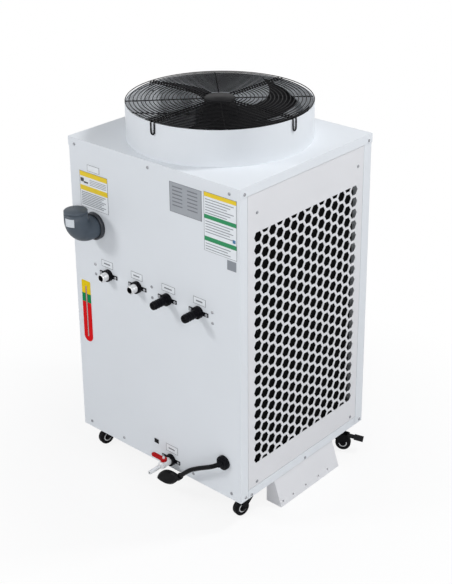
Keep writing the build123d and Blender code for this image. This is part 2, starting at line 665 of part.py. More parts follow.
# Electrical box, hung on the inside of the front panel
with BuildPart() as electrical_box:
    with BuildSketch(level_plane(STAND_HEIGHT + ELECTRICAL_BOTTOM, 0, BACK_INSIDE - ELECTRICAL_DEPTH / 2)):
        Rectangle(ELECTRICAL_WIDTH, ELECTRICAL_DEPTH)
    extrude(amount=ELECTRICAL_HEIGHT)
finish(electrical_box.part, "electrical_box")

# Filler elbow: runs out of the tank, through the panel and up. The bend is laid out
# as short mitred lengths, and the bore follows it.
elbow_stations = [on_port_panel(FILLER_X, FILLER_HEIGHT, -ELBOW_TAIL)]
for step in range(ELBOW_MITRES + 1):
    bend = radians(90 * step / ELBOW_MITRES)
    reach = ELBOW_REACH - ELBOW_BEND + ELBOW_BEND * sin(bend)
    rise = ELBOW_BEND - ELBOW_BEND * cos(bend)
    elbow_stations.append(on_port_panel(FILLER_X, FILLER_HEIGHT + rise, reach))
elbow_stations.append(on_port_panel(FILLER_X, FILLER_HEIGHT + ELBOW_RISE, ELBOW_REACH))
with BuildPart() as filler_elbow:
    with BuildLine():
        Polyline(*elbow_stations)
    with BuildSketch(port_plane(FILLER_X, FILLER_HEIGHT, -ELBOW_TAIL)):
        RegularPolygon(ELBOW_DIAMETER / 2, ROUND_SIDES)
    sweep(transition=Transition.RIGHT)
    with BuildLine():
        Polyline(*elbow_stations)
    with BuildSketch(port_plane(FILLER_X, FILLER_HEIGHT, -ELBOW_TAIL)):
        RegularPolygon(ELBOW_DIAMETER / 2 - ELBOW_WALL, ROUND_SIDES)
    sweep(transition=Transition.RIGHT, mode=Mode.SUBTRACT)
finish(filler_elbow.part, "filler_elbow")

# Collar round the elbow, against the panel
with BuildPart() as filler_collar:
    with BuildSketch(port_plane(FILLER_X, FILLER_HEIGHT)):
        RegularPolygon(FILLER_COLLAR_DIAMETER / 2, ROUND_SIDES)
        RegularPolygon(ELBOW_DIAMETER / 2, ROUND_SIDES, mode=Mode.SUBTRACT)
    extrude(amount=FILLER_COLLAR_THICKNESS)
finish(filler_collar.part, "filler_collar")

# Filler cap: a flat lid with a hollow plug that drops into the elbow
cap_place = on_port_panel(FILLER_X, FILLER_HEIGHT + ELBOW_RISE, ELBOW_REACH)
plug_radius = ELBOW_DIAMETER / 2 - ELBOW_WALL - CAP_FIT
with BuildPart() as filler_cap:
    with BuildSketch(level_plane(cap_place[2] + CAP_SEAT_GAP, *cap_place[:2])):
        RegularPolygon(ELBOW_DIAMETER / 2, ROUND_SIDES)
    extrude(amount=CAP_THICKNESS)
    with BuildSketch(level_plane(cap_place[2] + CAP_SEAT_GAP, *cap_place[:2])):
        RegularPolygon(plug_radius, ROUND_SIDES)
        RegularPolygon(plug_radius - CAP_PLUG_WALL, ROUND_SIDES, mode=Mode.SUBTRACT)
    extrude(amount=-CAP_PLUG_DEPTH)
finish(filler_cap.part, "filler_cap")

# Level gauge: a scale plate with a round foot, over the window
with BuildPart() as level_gauge:
    with BuildSketch(port_plane(GAUGE_X, 0)):
        with Locations((0, (GAUGE_BOTTOM + GAUGE_WIDTH / 2 + GAUGE_TOP) / 2)):
            Rectangle(GAUGE_WIDTH, GAUGE_TOP - GAUGE_BOTTOM - GAUGE_WIDTH / 2)
        fillet(vertices().group_by(Axis.Z)[-1], GAUGE_CORNER)
        with Locations((0, GAUGE_BOTTOM + GAUGE_WIDTH / 2)):
            Circle(GAUGE_WIDTH / 2)
        with Locations((0, (GAUGE_SLOT_BOTTOM + GAUGE_SLOT_TOP) / 2)):
            Rectangle(GAUGE_SLOT_WIDTH, GAUGE_SLOT_TOP - GAUGE_SLOT_BOTTOM, mode=Mode.SUBTRACT)
    extrude(amount=GAUGE_PLATE)
finish(level_gauge.part, "level_gauge")

# Level window: a clear bar in the slot, with a flange behind the panel
with BuildPart() as level_window:
    with BuildSketch(port_plane(GAUGE_X, 0, GAUGE_PLATE)):
        with Locations((0, (GAUGE_SLOT_BOTTOM + GAUGE_SLOT_TOP) / 2)):
            Rectangle(GAUGE_SLOT_WIDTH, GAUGE_SLOT_TOP - GAUGE_SLOT_BOTTOM)
    extrude(amount=-GAUGE_PLATE - SHEET)
    with BuildSketch(port_plane(GAUGE_X, 0, -SHEET)):
        with Locations((0, (GAUGE_SLOT_BOTTOM + GAUGE_SLOT_TOP) / 2)):
            Rectangle(GAUGE_SLOT_WIDTH + 2 * WINDOW_FLANGE, GAUGE_SLOT_TOP - GAUGE_SLOT_BOTTOM + 2 * WINDOW_FLANGE)
    extrude(amount=-WINDOW_FLANGE_THICKNESS)
finish(level_window.part, "level_window")


# Collars with two screw ears, which hold the port fittings and the drain valve
collar_places = [(x, height, PORT_SHANK_DIAMETER) for x, height in port_places]
collar_places.append((DRAIN_X, DRAIN_HEIGHT, VALVE_BODY_DIAMETER))
with BuildPart() as port_collars:
    for x, height, bore in collar_places:
        with BuildSketch(port_plane(x, height)):
            RegularPolygon(COLLAR_DIAMETER / 2, ROUND_SIDES)
        extrude(amount=COLLAR_THICKNESS)
        with BuildSketch(port_plane(x, height)):
            Rectangle(COLLAR_EAR_SPAN + COLLAR_EAR_WIDTH, COLLAR_EAR_WIDTH)
        extrude(amount=COLLAR_EAR_THICKNESS)
        with BuildSketch(port_plane(x, height)):
            Circle(bore / 2)
        extrude(amount=COLLAR_THICKNESS, mode=Mode.SUBTRACT)
finish(port_collars.part, "port_collars")

# Threaded nipples on the first two ports: a plain shank through the collar, and the
# thicker threaded end that starts at the collar's face
with BuildPart() as threaded_nipples:
    for x, height in port_places[:2]:
        with BuildSketch(port_plane(x, height, -PORT_TAIL)):
            Circle(PORT_SHANK_DIAMETER / 2)
        extrude(amount=PORT_TAIL + COLLAR_THICKNESS)
        with BuildSketch(port_plane(x, height, COLLAR_THICKNESS)):
            Circle(NIPPLE_DIAMETER / 2)
        extrude(amount=NIPPLE_REACH - COLLAR_THICKNESS)
        with BuildSketch(port_plane(x, height, NIPPLE_REACH)):
            Circle(NIPPLE_BORE / 2)
        extrude(amount=-NIPPLE_REACH - PORT_TAIL, mode=Mode.SUBTRACT)
finish(threaded_nipples.part, "threaded_nipples")

# Hose barbs on the last two ports: a tube with sawtooth ridges that narrow outward
with BuildPart() as hose_barbs:
    for x, height in port_places[2:]:
        with BuildSketch(port_plane(x, height, -PORT_TAIL)):
            Circle(PORT_SHANK_DIAMETER / 2)
        extrude(amount=PORT_TAIL + COLLAR_THICKNESS)
        with BuildSketch(port_plane(x, height, COLLAR_THICKNESS)):
            RegularPolygon(BARB_DIAMETER / 2, ROUND_SIDES)
        extrude(amount=BARB_REACH - COLLAR_THICKNESS)
        for ridge in range(BARB_RIDGES):
            start = BARB_REACH - (BARB_RIDGES - ridge) * BARB_RIDGE_PITCH
            with BuildSketch(port_plane(x, height, start)):
                RegularPolygon(BARB_DIAMETER / 2 + BARB_RIDGE, ROUND_SIDES)
            extrude(amount=BARB_RIDGE_PITCH, taper=degrees(atan2(BARB_RIDGE, BARB_RIDGE_PITCH)))
        with BuildSketch(port_plane(x, height, BARB_REACH)):
            Circle(BARB_BORE / 2)
        extrude(amount=-BARB_REACH - PORT_TAIL, mode=Mode.SUBTRACT)
finish(hose_barbs.part, "hose_barbs")

# Drain valve: a body through the panel, a nozzle and the stem for the lever
with BuildPart() as drain_valve:
    with BuildSketch(port_plane(DRAIN_X, DRAIN_HEIGHT, -PORT_TAIL)):
        Circle(VALVE_BODY_DIAMETER / 2)
    extrude(amount=PORT_TAIL + VALVE_BODY_REACH)
    with BuildSketch(port_plane(DRAIN_X, DRAIN_HEIGHT, VALVE_BODY_REACH)):
        Circle(NOZZLE_DIAMETER / 2)
    extrude(amount=NOZZLE_REACH - VALVE_BODY_REACH)
    with BuildSketch(level_plane(on_port_panel(0, DRAIN_HEIGHT)[2], *on_port_panel(DRAIN_X, 0, STEM_REACH)[:2])):
        Circle(STEM_DIAMETER / 2)
    extrude(amount=STEM_HEIGHT)
    with BuildSketch(port_plane(DRAIN_X, DRAIN_HEIGHT, NOZZLE_REACH)):
        Circle(NOZZLE_BORE / 2)
    extrude(amount=-(NOZZLE_REACH - VALVE_BODY_REACH / 2), mode=Mode.SUBTRACT)
finish(drain_valve.part, "drain_valve")

# Drain lever: turns on the stem and lies across the flow when the drain is shut
lever_place = on_port_panel(DRAIN_X, DRAIN_HEIGHT + VALVE_BODY_DIAMETER / 2 + LEVER_FLOAT, STEM_REACH)
with BuildPart() as drain_lever:
    with BuildSketch(level_plane(lever_place[2], *lever_place[:2])):
        Circle(LEVER_HUB_DIAMETER / 2)
        with Locations((-LEVER_LENGTH / 2, 0)):
            SlotOverall(LEVER_LENGTH, LEVER_WIDTH)
        Circle(STEM_DIAMETER / 2 + BEARING_GAP, mode=Mode.SUBTRACT)
    extrude(amount=LEVER_THICKNESS)
finish(drain_lever.part, "drain_lever")

# Blanking plug in the knock-out
with BuildPart() as blank_plug:
    with BuildSketch(port_plane(PLUG_X, PLUG_HEIGHT)):
        Rectangle(PLUG_WIDTH, PLUG_RISE)
    extrude(amount=PLUG_LAP)
    with BuildSketch(port_plane(PLUG_X, PLUG_HEIGHT)):
        Rectangle(PLUG_WIDTH - 2 * PLUG_LAP, PLUG_RISE - 2 * PLUG_LAP)
    extrude(amount=-SHEET - PLUG_LAP)
finish(blank_plug.part, "blank_plug")

# Cable gland: flange, dome, and a spigot that sends the lead sideways
cord_points = [Vector(*on_port_panel(x, height, reach)) for x, reach, height in CORD_ROUTE]
exit_direction = (cord_points[1] - cord_points[0]).normalized()
with BuildPart() as cable_gland:
    with BuildSketch(port_plane(GLAND_X, GLAND_HEIGHT)):
        RegularPolygon(GLAND_DIAMETER / 2, ROUND_SIDES)
    extrude(amount=GLAND_FLANGE)
    with BuildSketch(port_plane(GLAND_X, GLAND_HEIGHT, GLAND_FLANGE)):
        RegularPolygon(GLAND_DOME_DIAMETER / 2, ROUND_SIDES)
    extrude(amount=GLAND_DOME_REACH - GLAND_FLANGE, taper=GLAND_DOME_TAPER)
    with BuildSketch(port_plane(GLAND_X, GLAND_HEIGHT)):
        RegularPolygon(GLAND_TAIL_DIAMETER / 2, ROUND_SIDES)
    extrude(amount=-GLAND_TAIL)
    with BuildSketch(Plane(origin=cord_points[0], z_dir=exit_direction)):
        Circle(SPIGOT_DIAMETER / 2)
    extrude(amount=-SPIGOT_LENGTH)
finish(cable_gland.part, "cable_gland")

# Mains lead: a stiff cord that falls across the panel to its boot. Each bend takes
# just under half of the shorter run beside it.
cord_edges = []
run_start = cord_points[0]
bend_radii = []
for before, at, after in zip(cord_points, cord_points[1:], cord_points[2:]):
    leave, enter = (at - before).normalized(), (after - at).normalized()
    tangent = CORD_BEND_SHARE * min((at - before).length, (after - at).length)
    half_turn = radians(leave.get_angle(enter) / 2)
    bend_radii.append(tangent / tan(half_turn))
    bend_start, bend_end = at - leave * tangent, at + enter * tangent
    inward = (enter - leave).normalized()
    middle = at + inward * (bend_radii[-1] / cos(half_turn) - bend_radii[-1])
    cord_edges += [Edge.make_line(run_start, bend_start), Edge.make_three_point_arc(bend_start, middle, bend_end)]
    run_start = bend_end
cord_edges.append(Edge.make_line(run_start, cord_points[-1]))
with BuildPart() as power_cord:
    with BuildLine() as cord_path:
        add(cord_edges)
    with BuildSketch(Plane(origin=cord_points[0], z_dir=exit_direction)):
        Circle(CORD_DIAMETER / 2)
    sweep()
cord_length = sum(edge.length for edge in cord_edges)
print("cord length", round(cord_length, 1), "bend radii", [round(radius, 1) for radius in bend_radii])
finish(power_cord.part, "power_cord")

# Boot on the cord's end: a flattened leaf with a sleeve that takes the cord
cord_end = cord_points[-1]
end_direction = (cord_end - cord_points[-2]).normalized()
boot_tip = Vector(*on_port_panel(BOOT_TIP[0], BOOT_TIP[2], BOOT_TIP[1]))
boot_root = cord_end + end_direction * (BOOT_SLEEVE_LENGTH / 2)
boot_length = (boot_tip - boot_root).length
with BuildPart() as cord_boot:
    with BuildSketch(Plane(origin=boot_root, x_dir=(boot_tip - boot_root), z_dir=(0, -1, 0))):
        with BuildLine():
            ThreePointArc((0, 0), (boot_length * 0.42, BOOT_WIDTH / 2), (boot_length, 0))
            ThreePointArc((boot_length, 0), (boot_length * 0.42, -BOOT_WIDTH / 2), (0, 0))
        make_face()
    extrude(amount=BOOT_THICKNESS / 2, both=True)
    chamfer(cord_boot.faces().filter_by(Axis.Y).edges(), BOOT_EDGE)
    with BuildSketch(Plane(origin=cord_end, z_dir=end_direction)):
        Circle(BOOT_SLEEVE_DIAMETER / 2)
    extrude(amount=BOOT_SLEEVE_LENGTH)
finish(cord_boot.part, "cord_boot")

# Caster rails: channels across the cabinet under the tray, open upward
for end, y in (("front", PORT_FACE + CASTER_INSET_Y), ("back", BACK_FACE - CASTER_INSET_Y)):
    rail_length = 2 * (HALF_WIDTH - CASTER_INSET_X) + CASTER_PLATE_WIDTH
    with BuildPart() as caster_rail:
        with BuildSketch(level_plane(CASTER_HEIGHT, 0, y)):
            Rectangle(rail_length, CASTER_RAIL_WIDTH)
        extrude(amount=CASTER_RAIL_HEIGHT)
        with BuildSketch(level_plane(CASTER_HEIGHT + BRACKET_SHEET, 0, y)):
            Rectangle(rail_length, CASTER_RAIL_WIDTH - 2 * BRACKET_SHEET)
        extrude(amount=CASTER_RAIL_HEIGHT, mode=Mode.SUBTRACT)
    finish(caster_rail.part, f"caster_rail_{end}")

# Foot brackets: a sheet that leans out from under the cabinet's edge to the floor,
# closed at both ends by gussets and punched along its foot for anchors
bracket_top = STAND_HEIGHT
bracket_run = BRACKET_TOP + BRACKET_FOOT
bracket_fall = bracket_top - BRACKET_FLOOR_GAP
lean = degrees(atan2(bracket_run, bracket_fall))
for side, hand in ((-1, "left"), (1, "right")):
    inner = side * (HALF_WIDTH - BRACKET_INNER)
    outer_top = side * (HALF_WIDTH - BRACKET_TOP)
    outer_foot = side * (HALF_WIDTH + BRACKET_FOOT)
    wall = side * BRACKET_SHEET
    with BuildPart() as foot_bracket:
        with BuildSketch(Plane.XZ.offset(-(FAN_CENTRE[1] + BRACKET_LENGTH / 2))):
            with BuildLine():
                Polyline(
                    (inner, bracket_top),
                    (outer_top, bracket_top),
                    (outer_foot, BRACKET_FLOOR_GAP),
                    (inner, BRACKET_FLOOR_GAP),
                    close=True,
                )
            make_face()
        extrude(amount=BRACKET_LENGTH)
        with BuildSketch(Plane.XZ.offset(-(FAN_CENTRE[1] + BRACKET_LENGTH / 2 - BRACKET_SHEET))):
            with BuildLine():
                Polyline(
                    (inner, bracket_top - BRACKET_SHEET),
                    (outer_top - wall, bracket_top - BRACKET_SHEET),
                    (outer_foot - wall, BRACKET_FLOOR_GAP),
                    (inner, BRACKET_FLOOR_GAP),
                    close=True,
                )
            make_face()
        extrude(amount=BRACKET_LENGTH - 2 * BRACKET_SHEET, mode=Mode.SUBTRACT)
        leaning = Plane(
            origin=(outer_foot, FAN_CENTRE[1] - BRACKET_LENGTH / 2, BRACKET_FLOOR_GAP),
            x_dir=(0, 1, 0),
            z_dir=(side * cos(radians(lean)), 0, sin(radians(lean))),
        )
        with BuildSketch(leaning):
            with Locations([(along, side * BRACKET_HOLE_RISE) for along in BRACKET_HOLES]):
                RegularPolygon(BRACKET_HOLE / 2, ROUND_SIDES // 2)
        extrude(amount=-2 * BRACKET_SHEET, mode=Mode.SUBTRACT)
    finish(foot_bracket.part, f"foot_bracket_{hand}")

# Casters. A plate with a cup and kingpin is bolted to the rail; the fork swivels on
# the kingpin and carries the axle, and the back pair has a brake pedal on a pin.
casters = []
for hand, side in (("left", -1), ("right", 1)):
    x = side * (HALF_WIDTH - CASTER_INSET_X)
    casters.append((f"front_{hand}", x, PORT_FACE + CASTER_INSET_Y, FRONT_YAW, False))
    casters.append((f"back_{hand}", x, BACK_FACE - CASTER_INSET_Y, REAR_YAW if side > 0 else 180 - REAR_YAW, True))
cup_bottom = CASTER_HEIGHT - CASTER_PLATE_SHEET - CASTER_CUP_HEIGHT
crown_top = cup_bottom - SWIVEL_GAP
crown_bottom = crown_top - FORK_SHEET
arm_inside = WHEEL_WIDTH / 2 + WHEEL_SIDE_GAP
arm_outside = arm_inside + FORK_SHEET
with BuildPart() as caster_plates:
    for name, x, y, yaw, braked in casters:
        with BuildSketch(level_plane(CASTER_HEIGHT, x, y)):
            Rectangle(CASTER_PLATE_WIDTH, CASTER_PLATE_LENGTH)
        extrude(amount=-CASTER_PLATE_SHEET)
        with BuildSketch(level_plane(CASTER_HEIGHT - CASTER_PLATE_SHEET, x, y)):
            RegularPolygon(CASTER_CUP_DIAMETER / 2, ROUND_SIDES)
        extrude(amount=-CASTER_CUP_HEIGHT)
        with BuildSketch(level_plane(cup_bottom, x, y)):
            Circle(KINGPIN_DIAMETER / 2)
        extrude(amount=-(2 * SWIVEL_GAP + FORK_SHEET))
        with BuildSketch(level_plane(crown_bottom - SWIVEL_GAP, x, y)):
            RegularPolygon(KINGPIN_HEAD_DIAMETER / 2, 6)
        extrude(amount=-KINGPIN_HEAD)
finish(caster_plates.part, "caster_plates")

for name, x, y, yaw, braked in casters:
    with BuildPart() as caster_fork:
        for across in (arm_inside, -arm_outside):
            with BuildSketch(upright_plane(x, y, yaw, across)):
                with Locations((0, crown_top - FORK_SHEET / 2)):
                    Rectangle(CASTER_CUP_DIAMETER, FORK_SHEET)
                with Locations((CASTER_TRAIL, WHEEL_DIAMETER / 2)):
                    Circle(FORK_NOSE_DIAMETER / 2)
                if braked:
                    with Locations((PEDAL_PIVOT_X, PEDAL_PIVOT_HEIGHT)):
                        Circle(PEDAL_BARREL_DIAMETER / 2)
                make_hull()
            extrude(amount=FORK_SHEET)
        with BuildSketch(level_plane(crown_top, x, y, yaw)):
            Rectangle(CASTER_CUP_DIAMETER, 2 * arm_outside)
            Circle(KINGPIN_DIAMETER / 2 + BEARING_GAP, mode=Mode.SUBTRACT)
        extrude(amount=-FORK_SHEET)
        with BuildSketch(upright_plane(x, y, yaw, -arm_outside)):
            with Locations((CASTER_TRAIL, WHEEL_DIAMETER / 2)):
                Circle(AXLE_DIAMETER / 2)
            if braked:
                with Locations((PEDAL_PIVOT_X, PEDAL_PIVOT_HEIGHT)):
                    Circle(PEDAL_PIN_DIAMETER / 2)
        extrude(amount=2 * arm_outside)
        for across in (arm_outside, -arm_outside - AXLE_HEAD):
            with BuildSketch(upright_plane(x, y, yaw, across)):
                with Locations((CASTER_TRAIL, WHEEL_DIAMETER / 2)):
                    RegularPolygon(AXLE_HEAD_DIAMETER / 2, 6)
            extrude(amount=AXLE_HEAD)
    finish(caster_fork.part, f"caster_fork_{name}")
    with BuildPart() as caster_wheel:
        with BuildSketch(upright_plane(x, y, yaw, -WHEEL_WIDTH / 2)):
            with Locations((CASTER_TRAIL, WHEEL_DIAMETER / 2)):
                Circle(WHEEL_DIAMETER / 2)
                Circle(AXLE_DIAMETER / 2 + BEARING_GAP, mode=Mode.SUBTRACT)
        extrude(amount=WHEEL_WIDTH)
    finish(caster_wheel.part, f"caster_wheel_{name}")
    if not braked:
        continue
    pedal_inside = arm_inside - WHEEL_SIDE_GAP
    slope = radians(PEDAL_SLOPE)
    with BuildPart() as brake_pedal:
        with BuildSketch(upright_plane(x, y, yaw, -pedal_inside)):
            with Locations((PEDAL_PIVOT_X, PEDAL_PIVOT_HEIGHT)):
                Circle(PEDAL_BARREL_DIAMETER / 2)
                with Locations(Location((0, 0), -PEDAL_SLOPE)):
                    with Locations((PEDAL_LENGTH / 4, 0)):
                        Rectangle(PEDAL_LENGTH / 2, PEDAL_SHEET)
        extrude(amount=2 * pedal_inside)
        with BuildSketch(upright_plane(x, y, yaw, -PEDAL_WIDTH / 2)):
            with Locations((PEDAL_PIVOT_X, PEDAL_PIVOT_HEIGHT)):
                with Locations(Location((0, 0), -PEDAL_SLOPE)):
                    with Locations((PEDAL_LENGTH * 0.7, 0)):
                        Rectangle(PEDAL_LENGTH * 0.6, PEDAL_SHEET)
        extrude(amount=PEDAL_WIDTH)
        with BuildSketch(upright_plane(x, y, yaw, -PEDAL_WIDTH / 2)):
            with Locations((PEDAL_PIVOT_X, PEDAL_PIVOT_HEIGHT)):
                Circle(PEDAL_PIN_DIAMETER / 2 + BEARING_GAP)
        extrude(amount=PEDAL_WIDTH, mode=Mode.SUBTRACT)
    finish(brake_pedal.part, f"brake_pedal_{name[5:]}")
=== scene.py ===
import json
from math import cos, pi, radians, sin

import bpy
import numpy as np
from mathutils import Matrix, Vector


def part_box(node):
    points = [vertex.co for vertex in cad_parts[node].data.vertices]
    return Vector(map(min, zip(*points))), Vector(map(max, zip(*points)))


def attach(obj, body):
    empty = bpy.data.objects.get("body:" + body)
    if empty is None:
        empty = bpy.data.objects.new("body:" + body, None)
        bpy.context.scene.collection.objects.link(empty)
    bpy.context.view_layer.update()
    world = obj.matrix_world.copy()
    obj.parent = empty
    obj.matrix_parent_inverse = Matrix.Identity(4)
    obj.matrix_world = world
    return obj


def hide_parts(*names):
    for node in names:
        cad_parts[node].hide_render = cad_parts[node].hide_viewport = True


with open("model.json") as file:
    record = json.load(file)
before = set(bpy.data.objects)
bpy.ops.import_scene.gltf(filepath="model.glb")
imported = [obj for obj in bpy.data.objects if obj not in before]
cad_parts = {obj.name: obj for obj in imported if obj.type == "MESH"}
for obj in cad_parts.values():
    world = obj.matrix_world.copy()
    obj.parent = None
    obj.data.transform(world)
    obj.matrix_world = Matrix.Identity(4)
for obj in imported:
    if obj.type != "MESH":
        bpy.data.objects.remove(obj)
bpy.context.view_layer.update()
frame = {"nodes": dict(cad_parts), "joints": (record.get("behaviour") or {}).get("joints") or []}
nodes = frame["nodes"]

# Cabinet: folded sheet-steel panels, a cover and a fan cowl, powder coated a very light
# bluish white with a fine orange-peel surface. The grille's side, the side across from it
# and the foot brackets take a darker, a little warmer copy of the coat: painted shade on those faces.
PAINT_COLOUR = (0.745, 0.775, 0.81, 1)
SHADED_COAT_COLOUR = (0.725, 0.728, 0.75, 1)


def finish_material(name, colour, roughness, metallic=0.0, specular=0.5):
    """A shader with its plain values on its own sockets, and its nodes for detail."""
    material = bpy.data.materials.new(name)
    material.use_nodes = True
    shader = material.node_tree.nodes["Principled BSDF"]
    shader.inputs["Base Color"].default_value = colour
    shader.inputs["Roughness"].default_value = roughness
    shader.inputs["Metallic"].default_value = metallic
    shader.inputs["Specular IOR Level"].default_value = specular
    return material, material.node_tree.nodes, material.node_tree.links, shader


def mottle(material, scale, low, high, roughness_low, roughness_high, bump, bump_scale):
    """Noise on Object coordinates: the colour runs between two tints, the roughness between
    two values, and a finer noise lifts the surface by a bump of up to a millimetre."""
    tree = material.node_tree
    shader = tree.nodes["Principled BSDF"]
    coordinates = tree.nodes.new("ShaderNodeTexCoord")
    broad = tree.nodes.new("ShaderNodeTexNoise")
    broad.inputs["Scale"].default_value = scale
    broad.inputs["Detail"].default_value = 4
    tree.links.new(coordinates.outputs["Object"], broad.inputs["Vector"])
    tint = tree.nodes.new("ShaderNodeValToRGB")
    tint.color_ramp.elements[0].position = 0.35
    tint.color_ramp.elements[1].position = 0.65
    tint.color_ramp.elements[0].color = low
    tint.color_ramp.elements[1].color = high
    tree.links.new(broad.outputs["Fac"], tint.inputs["Fac"])
    tree.links.new(tint.outputs["Color"], shader.inputs["Base Color"])
    sheen = tree.nodes.new("ShaderNodeMapRange")
    sheen.inputs["To Min"].default_value = roughness_low
    sheen.inputs["To Max"].default_value = roughness_high
    tree.links.new(broad.outputs["Fac"], sheen.inputs["Value"])
    tree.links.new(sheen.outputs["Result"], shader.inputs["Roughness"])
    fine = tree.nodes.new("ShaderNodeTexNoise")
    fine.inputs["Scale"].default_value = bump_scale
    tree.links.new(coordinates.outputs["Object"], fine.inputs["Vector"])
    relief = tree.nodes.new("ShaderNodeBump")
    relief.inputs["Strength"].default_value = bump
    relief.inputs["Distance"].default_value = 0.001
    tree.links.new(fine.outputs["Fac"], relief.inputs["Height"])
    tree.links.new(relief.outputs["Normal"], shader.inputs["Normal"])


def shade(colour, factor):
    """The same colour, darker or lighter."""
    return (*(min(1, channel * factor) for channel in colour[:3]), 1)


def dress(node, material):
    """Gives a carried-over CAD node its finish."""
    nodes[node].data.materials.clear()
    nodes[node].data.materials.append(material)


def orange_peel(material, colour, smoothest, roughest):
    """A powder coat's cloud of tint a few hundred millimetres across, and its fine relief."""
    mottle(material, 3, shade(colour, 0.985), shade(colour, 1.01), smoothest, roughest, 0.12, 900)


powder_coat, *_ = finish_material("powder coat", PAINT_COLOUR, 0.45, specular=0.35)
orange_peel(powder_coat, PAINT_COLOUR, 0.42, 0.5)
# A darker, warmer copy of the powder coat, painted shade on the grille's side, the side across from it and the
# foot brackets.
shaded_coat, *_ = finish_material("shaded grille coat", SHADED_COAT_COLOUR, 0.5)
orange_peel(shaded_coat, SHADED_COAT_COLOUR, 0.46, 0.54)
for node in ("port_panel", "front_panel", "top_cover", "fan_cowl", "base_tray"):
    dress(node, powder_coat)
for node in ("grille_panel", "side_panel", "foot_bracket_left", "foot_bracket_right"):
    dress(node, shaded_coat)

# Inside the cabinet: bent galvanised posts and boxes bolted to the tray, a blow-moulded
# tank, and machinery in black enamel, as on the caster rails below. Little of the inside
# shows, past the grille and the fan.
zinc, *_ = finish_material("zinc plate", (0.42, 0.43, 0.44, 1), 0.4, 0.9)
mottle(zinc, 60, (0.34, 0.35, 0.36, 1), (0.5, 0.51, 0.52, 1), 0.32, 0.5, 0.05, 300)
for node in nodes:
    if node.startswith("corner_post") or node in ("tank_stand", "electrical_box", "heat_exchanger"):
        dress(node, zinc)
BLACK_SPECULAR = 0.05
black_enamel, *_ = finish_material("black enamel", (0.005, 0.005, 0.006, 1), 0.4, specular=BLACK_SPECULAR)
mottle(black_enamel, 12, (0.004, 0.004, 0.005, 1), (0.007, 0.007, 0.008, 1), 0.35, 0.5, 0.08, 500)
for node in ("compressor", "circulation_pumps", "fan_motor", "fan_rotor"):
    dress(node, black_enamel)
for node in ("caster_rail_front", "caster_rail_back"):
    dress(node, black_enamel)
moulded_tank, *_ = finish_material("natural moulded plastic", (0.6, 0.6, 0.56, 1), 0.5)
mottle(moulded_tank, 8, (0.56, 0.56, 0.52, 1), (0.63, 0.63, 0.59, 1), 0.45, 0.6, 0.1, 200)
dress("water_tank", moulded_tank)

# Condenser coil: thin black-coated fins, two millimetres apart, seen behind the honeycomb.
# Their colour is darkened further to paint the shade inside the coil, and dark stripes paint the shade in the
# gaps between fins.
FIN_BANDS = 160
FIN_COLOUR = (0.004, 0.004, 0.005, 1)
fins, fin_nodes, fin_links, fin_shader = finish_material("coated fins with painted shade", FIN_COLOUR, 0.9, specular=0.08)
fin_place = fin_nodes.new("ShaderNodeTexCoord")
fin_wave = fin_nodes.new("ShaderNodeTexWave")
fin_wave.bands_direction = "Y"
fin_wave.inputs["Scale"].default_value = FIN_BANDS
# The bands paint darker shade in the gaps between the fins, on a colour already darkened to paint the shade
# inside the coil.
fin_shade_bands = fin_nodes.new("ShaderNodeValToRGB")
fin_shade_bands.color_ramp.elements[0].color = (0.0004, 0.0004, 0.0005, 1)
fin_shade_bands.color_ramp.elements[1].color = (0.002, 0.002, 0.0023, 1)
fin_links.new(fin_place.outputs["Object"], fin_wave.inputs["Vector"])
fin_links.new(fin_wave.outputs["Fac"], fin_shade_bands.inputs["Fac"])
fin_links.new(fin_shade_bands.outputs["Color"], fin_shader.inputs["Base Color"])
dress("condenser_coil", fins)

# Control case on the hidden face: a closed moulding of dark satin plastic, screwed to
# the front panel.
case_plastic, *_ = finish_material("control case", (0.03, 0.03, 0.034, 1), 0.45)
mottle(case_plastic, 30, (0.027, 0.027, 0.03, 1), (0.034, 0.034, 0.038, 1), 0.4, 0.55, 0.15, 900)
dress("controller", case_plastic)

# Fan guard: rings of bright black wire welded on spokes. Four spokes are double wires
# bent over the cowl's rim and down its wall as hooks, and four are single wires that end
# at the rim. A pressed plate covers the middle.
FAN_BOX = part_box("fan_cowl")
FAN_X = (FAN_BOX[0].x + FAN_BOX[1].x) / 2
FAN_Y = (FAN_BOX[0].y + FAN_BOX[1].y) / 2
COWL_RADIUS = (FAN_BOX[1].x - FAN_BOX[0].x) / 2
RIM = FAN_BOX[1].z
WIRE = 0.0028
GUARD_RINGS = 20
HUB_RADIUS = 0.047
HUB_TOP = 0.0095
PAIR_WIRE = 0.0044
SINGLE_WIRE = 0.0034
PAIR_SPACING = 0.0135
HOOK_DROP = 0.034
HOOK_CORNER = 0.004
GUARD_RISE = HUB_TOP * 0.24


def add_surface(name, grids, material, body="chiller", smooth=True):
    """One mesh from grids of points: each grid is an array of rows by columns by three, and
    neighbouring points make its four-sided faces. A grid can be closed round its columns."""
    points, faces, base = [], [], 0
    for grid, closed in grids:
        rows, columns = grid.shape[:2]
        points.append(grid.reshape(-1, 3))
        last = columns if closed else columns - 1
        row, column = np.meshgrid(np.arange(rows - 1), np.arange(last), indexing="ij")
        after = (column + 1) % columns
        here, beyond = row * columns, (row + 1) * columns
        quads = np.stack([here + column, here + after, beyond + after, beyond + column], -1)
        faces.append(quads.reshape(-1, 4) + base)
        base += rows * columns
    mesh = bpy.data.meshes.new(name)
    mesh.from_pydata(np.concatenate(points).tolist(), [], np.concatenate(faces).tolist())
    mesh.validate()
    mesh.polygons.foreach_set("use_smooth", [smooth] * len(mesh.polygons))
    mesh.materials.append(material)
    piece = bpy.data.objects.new(name, mesh)
    bpy.context.scene.collection.objects.link(piece)
    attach(piece, body)
    return piece


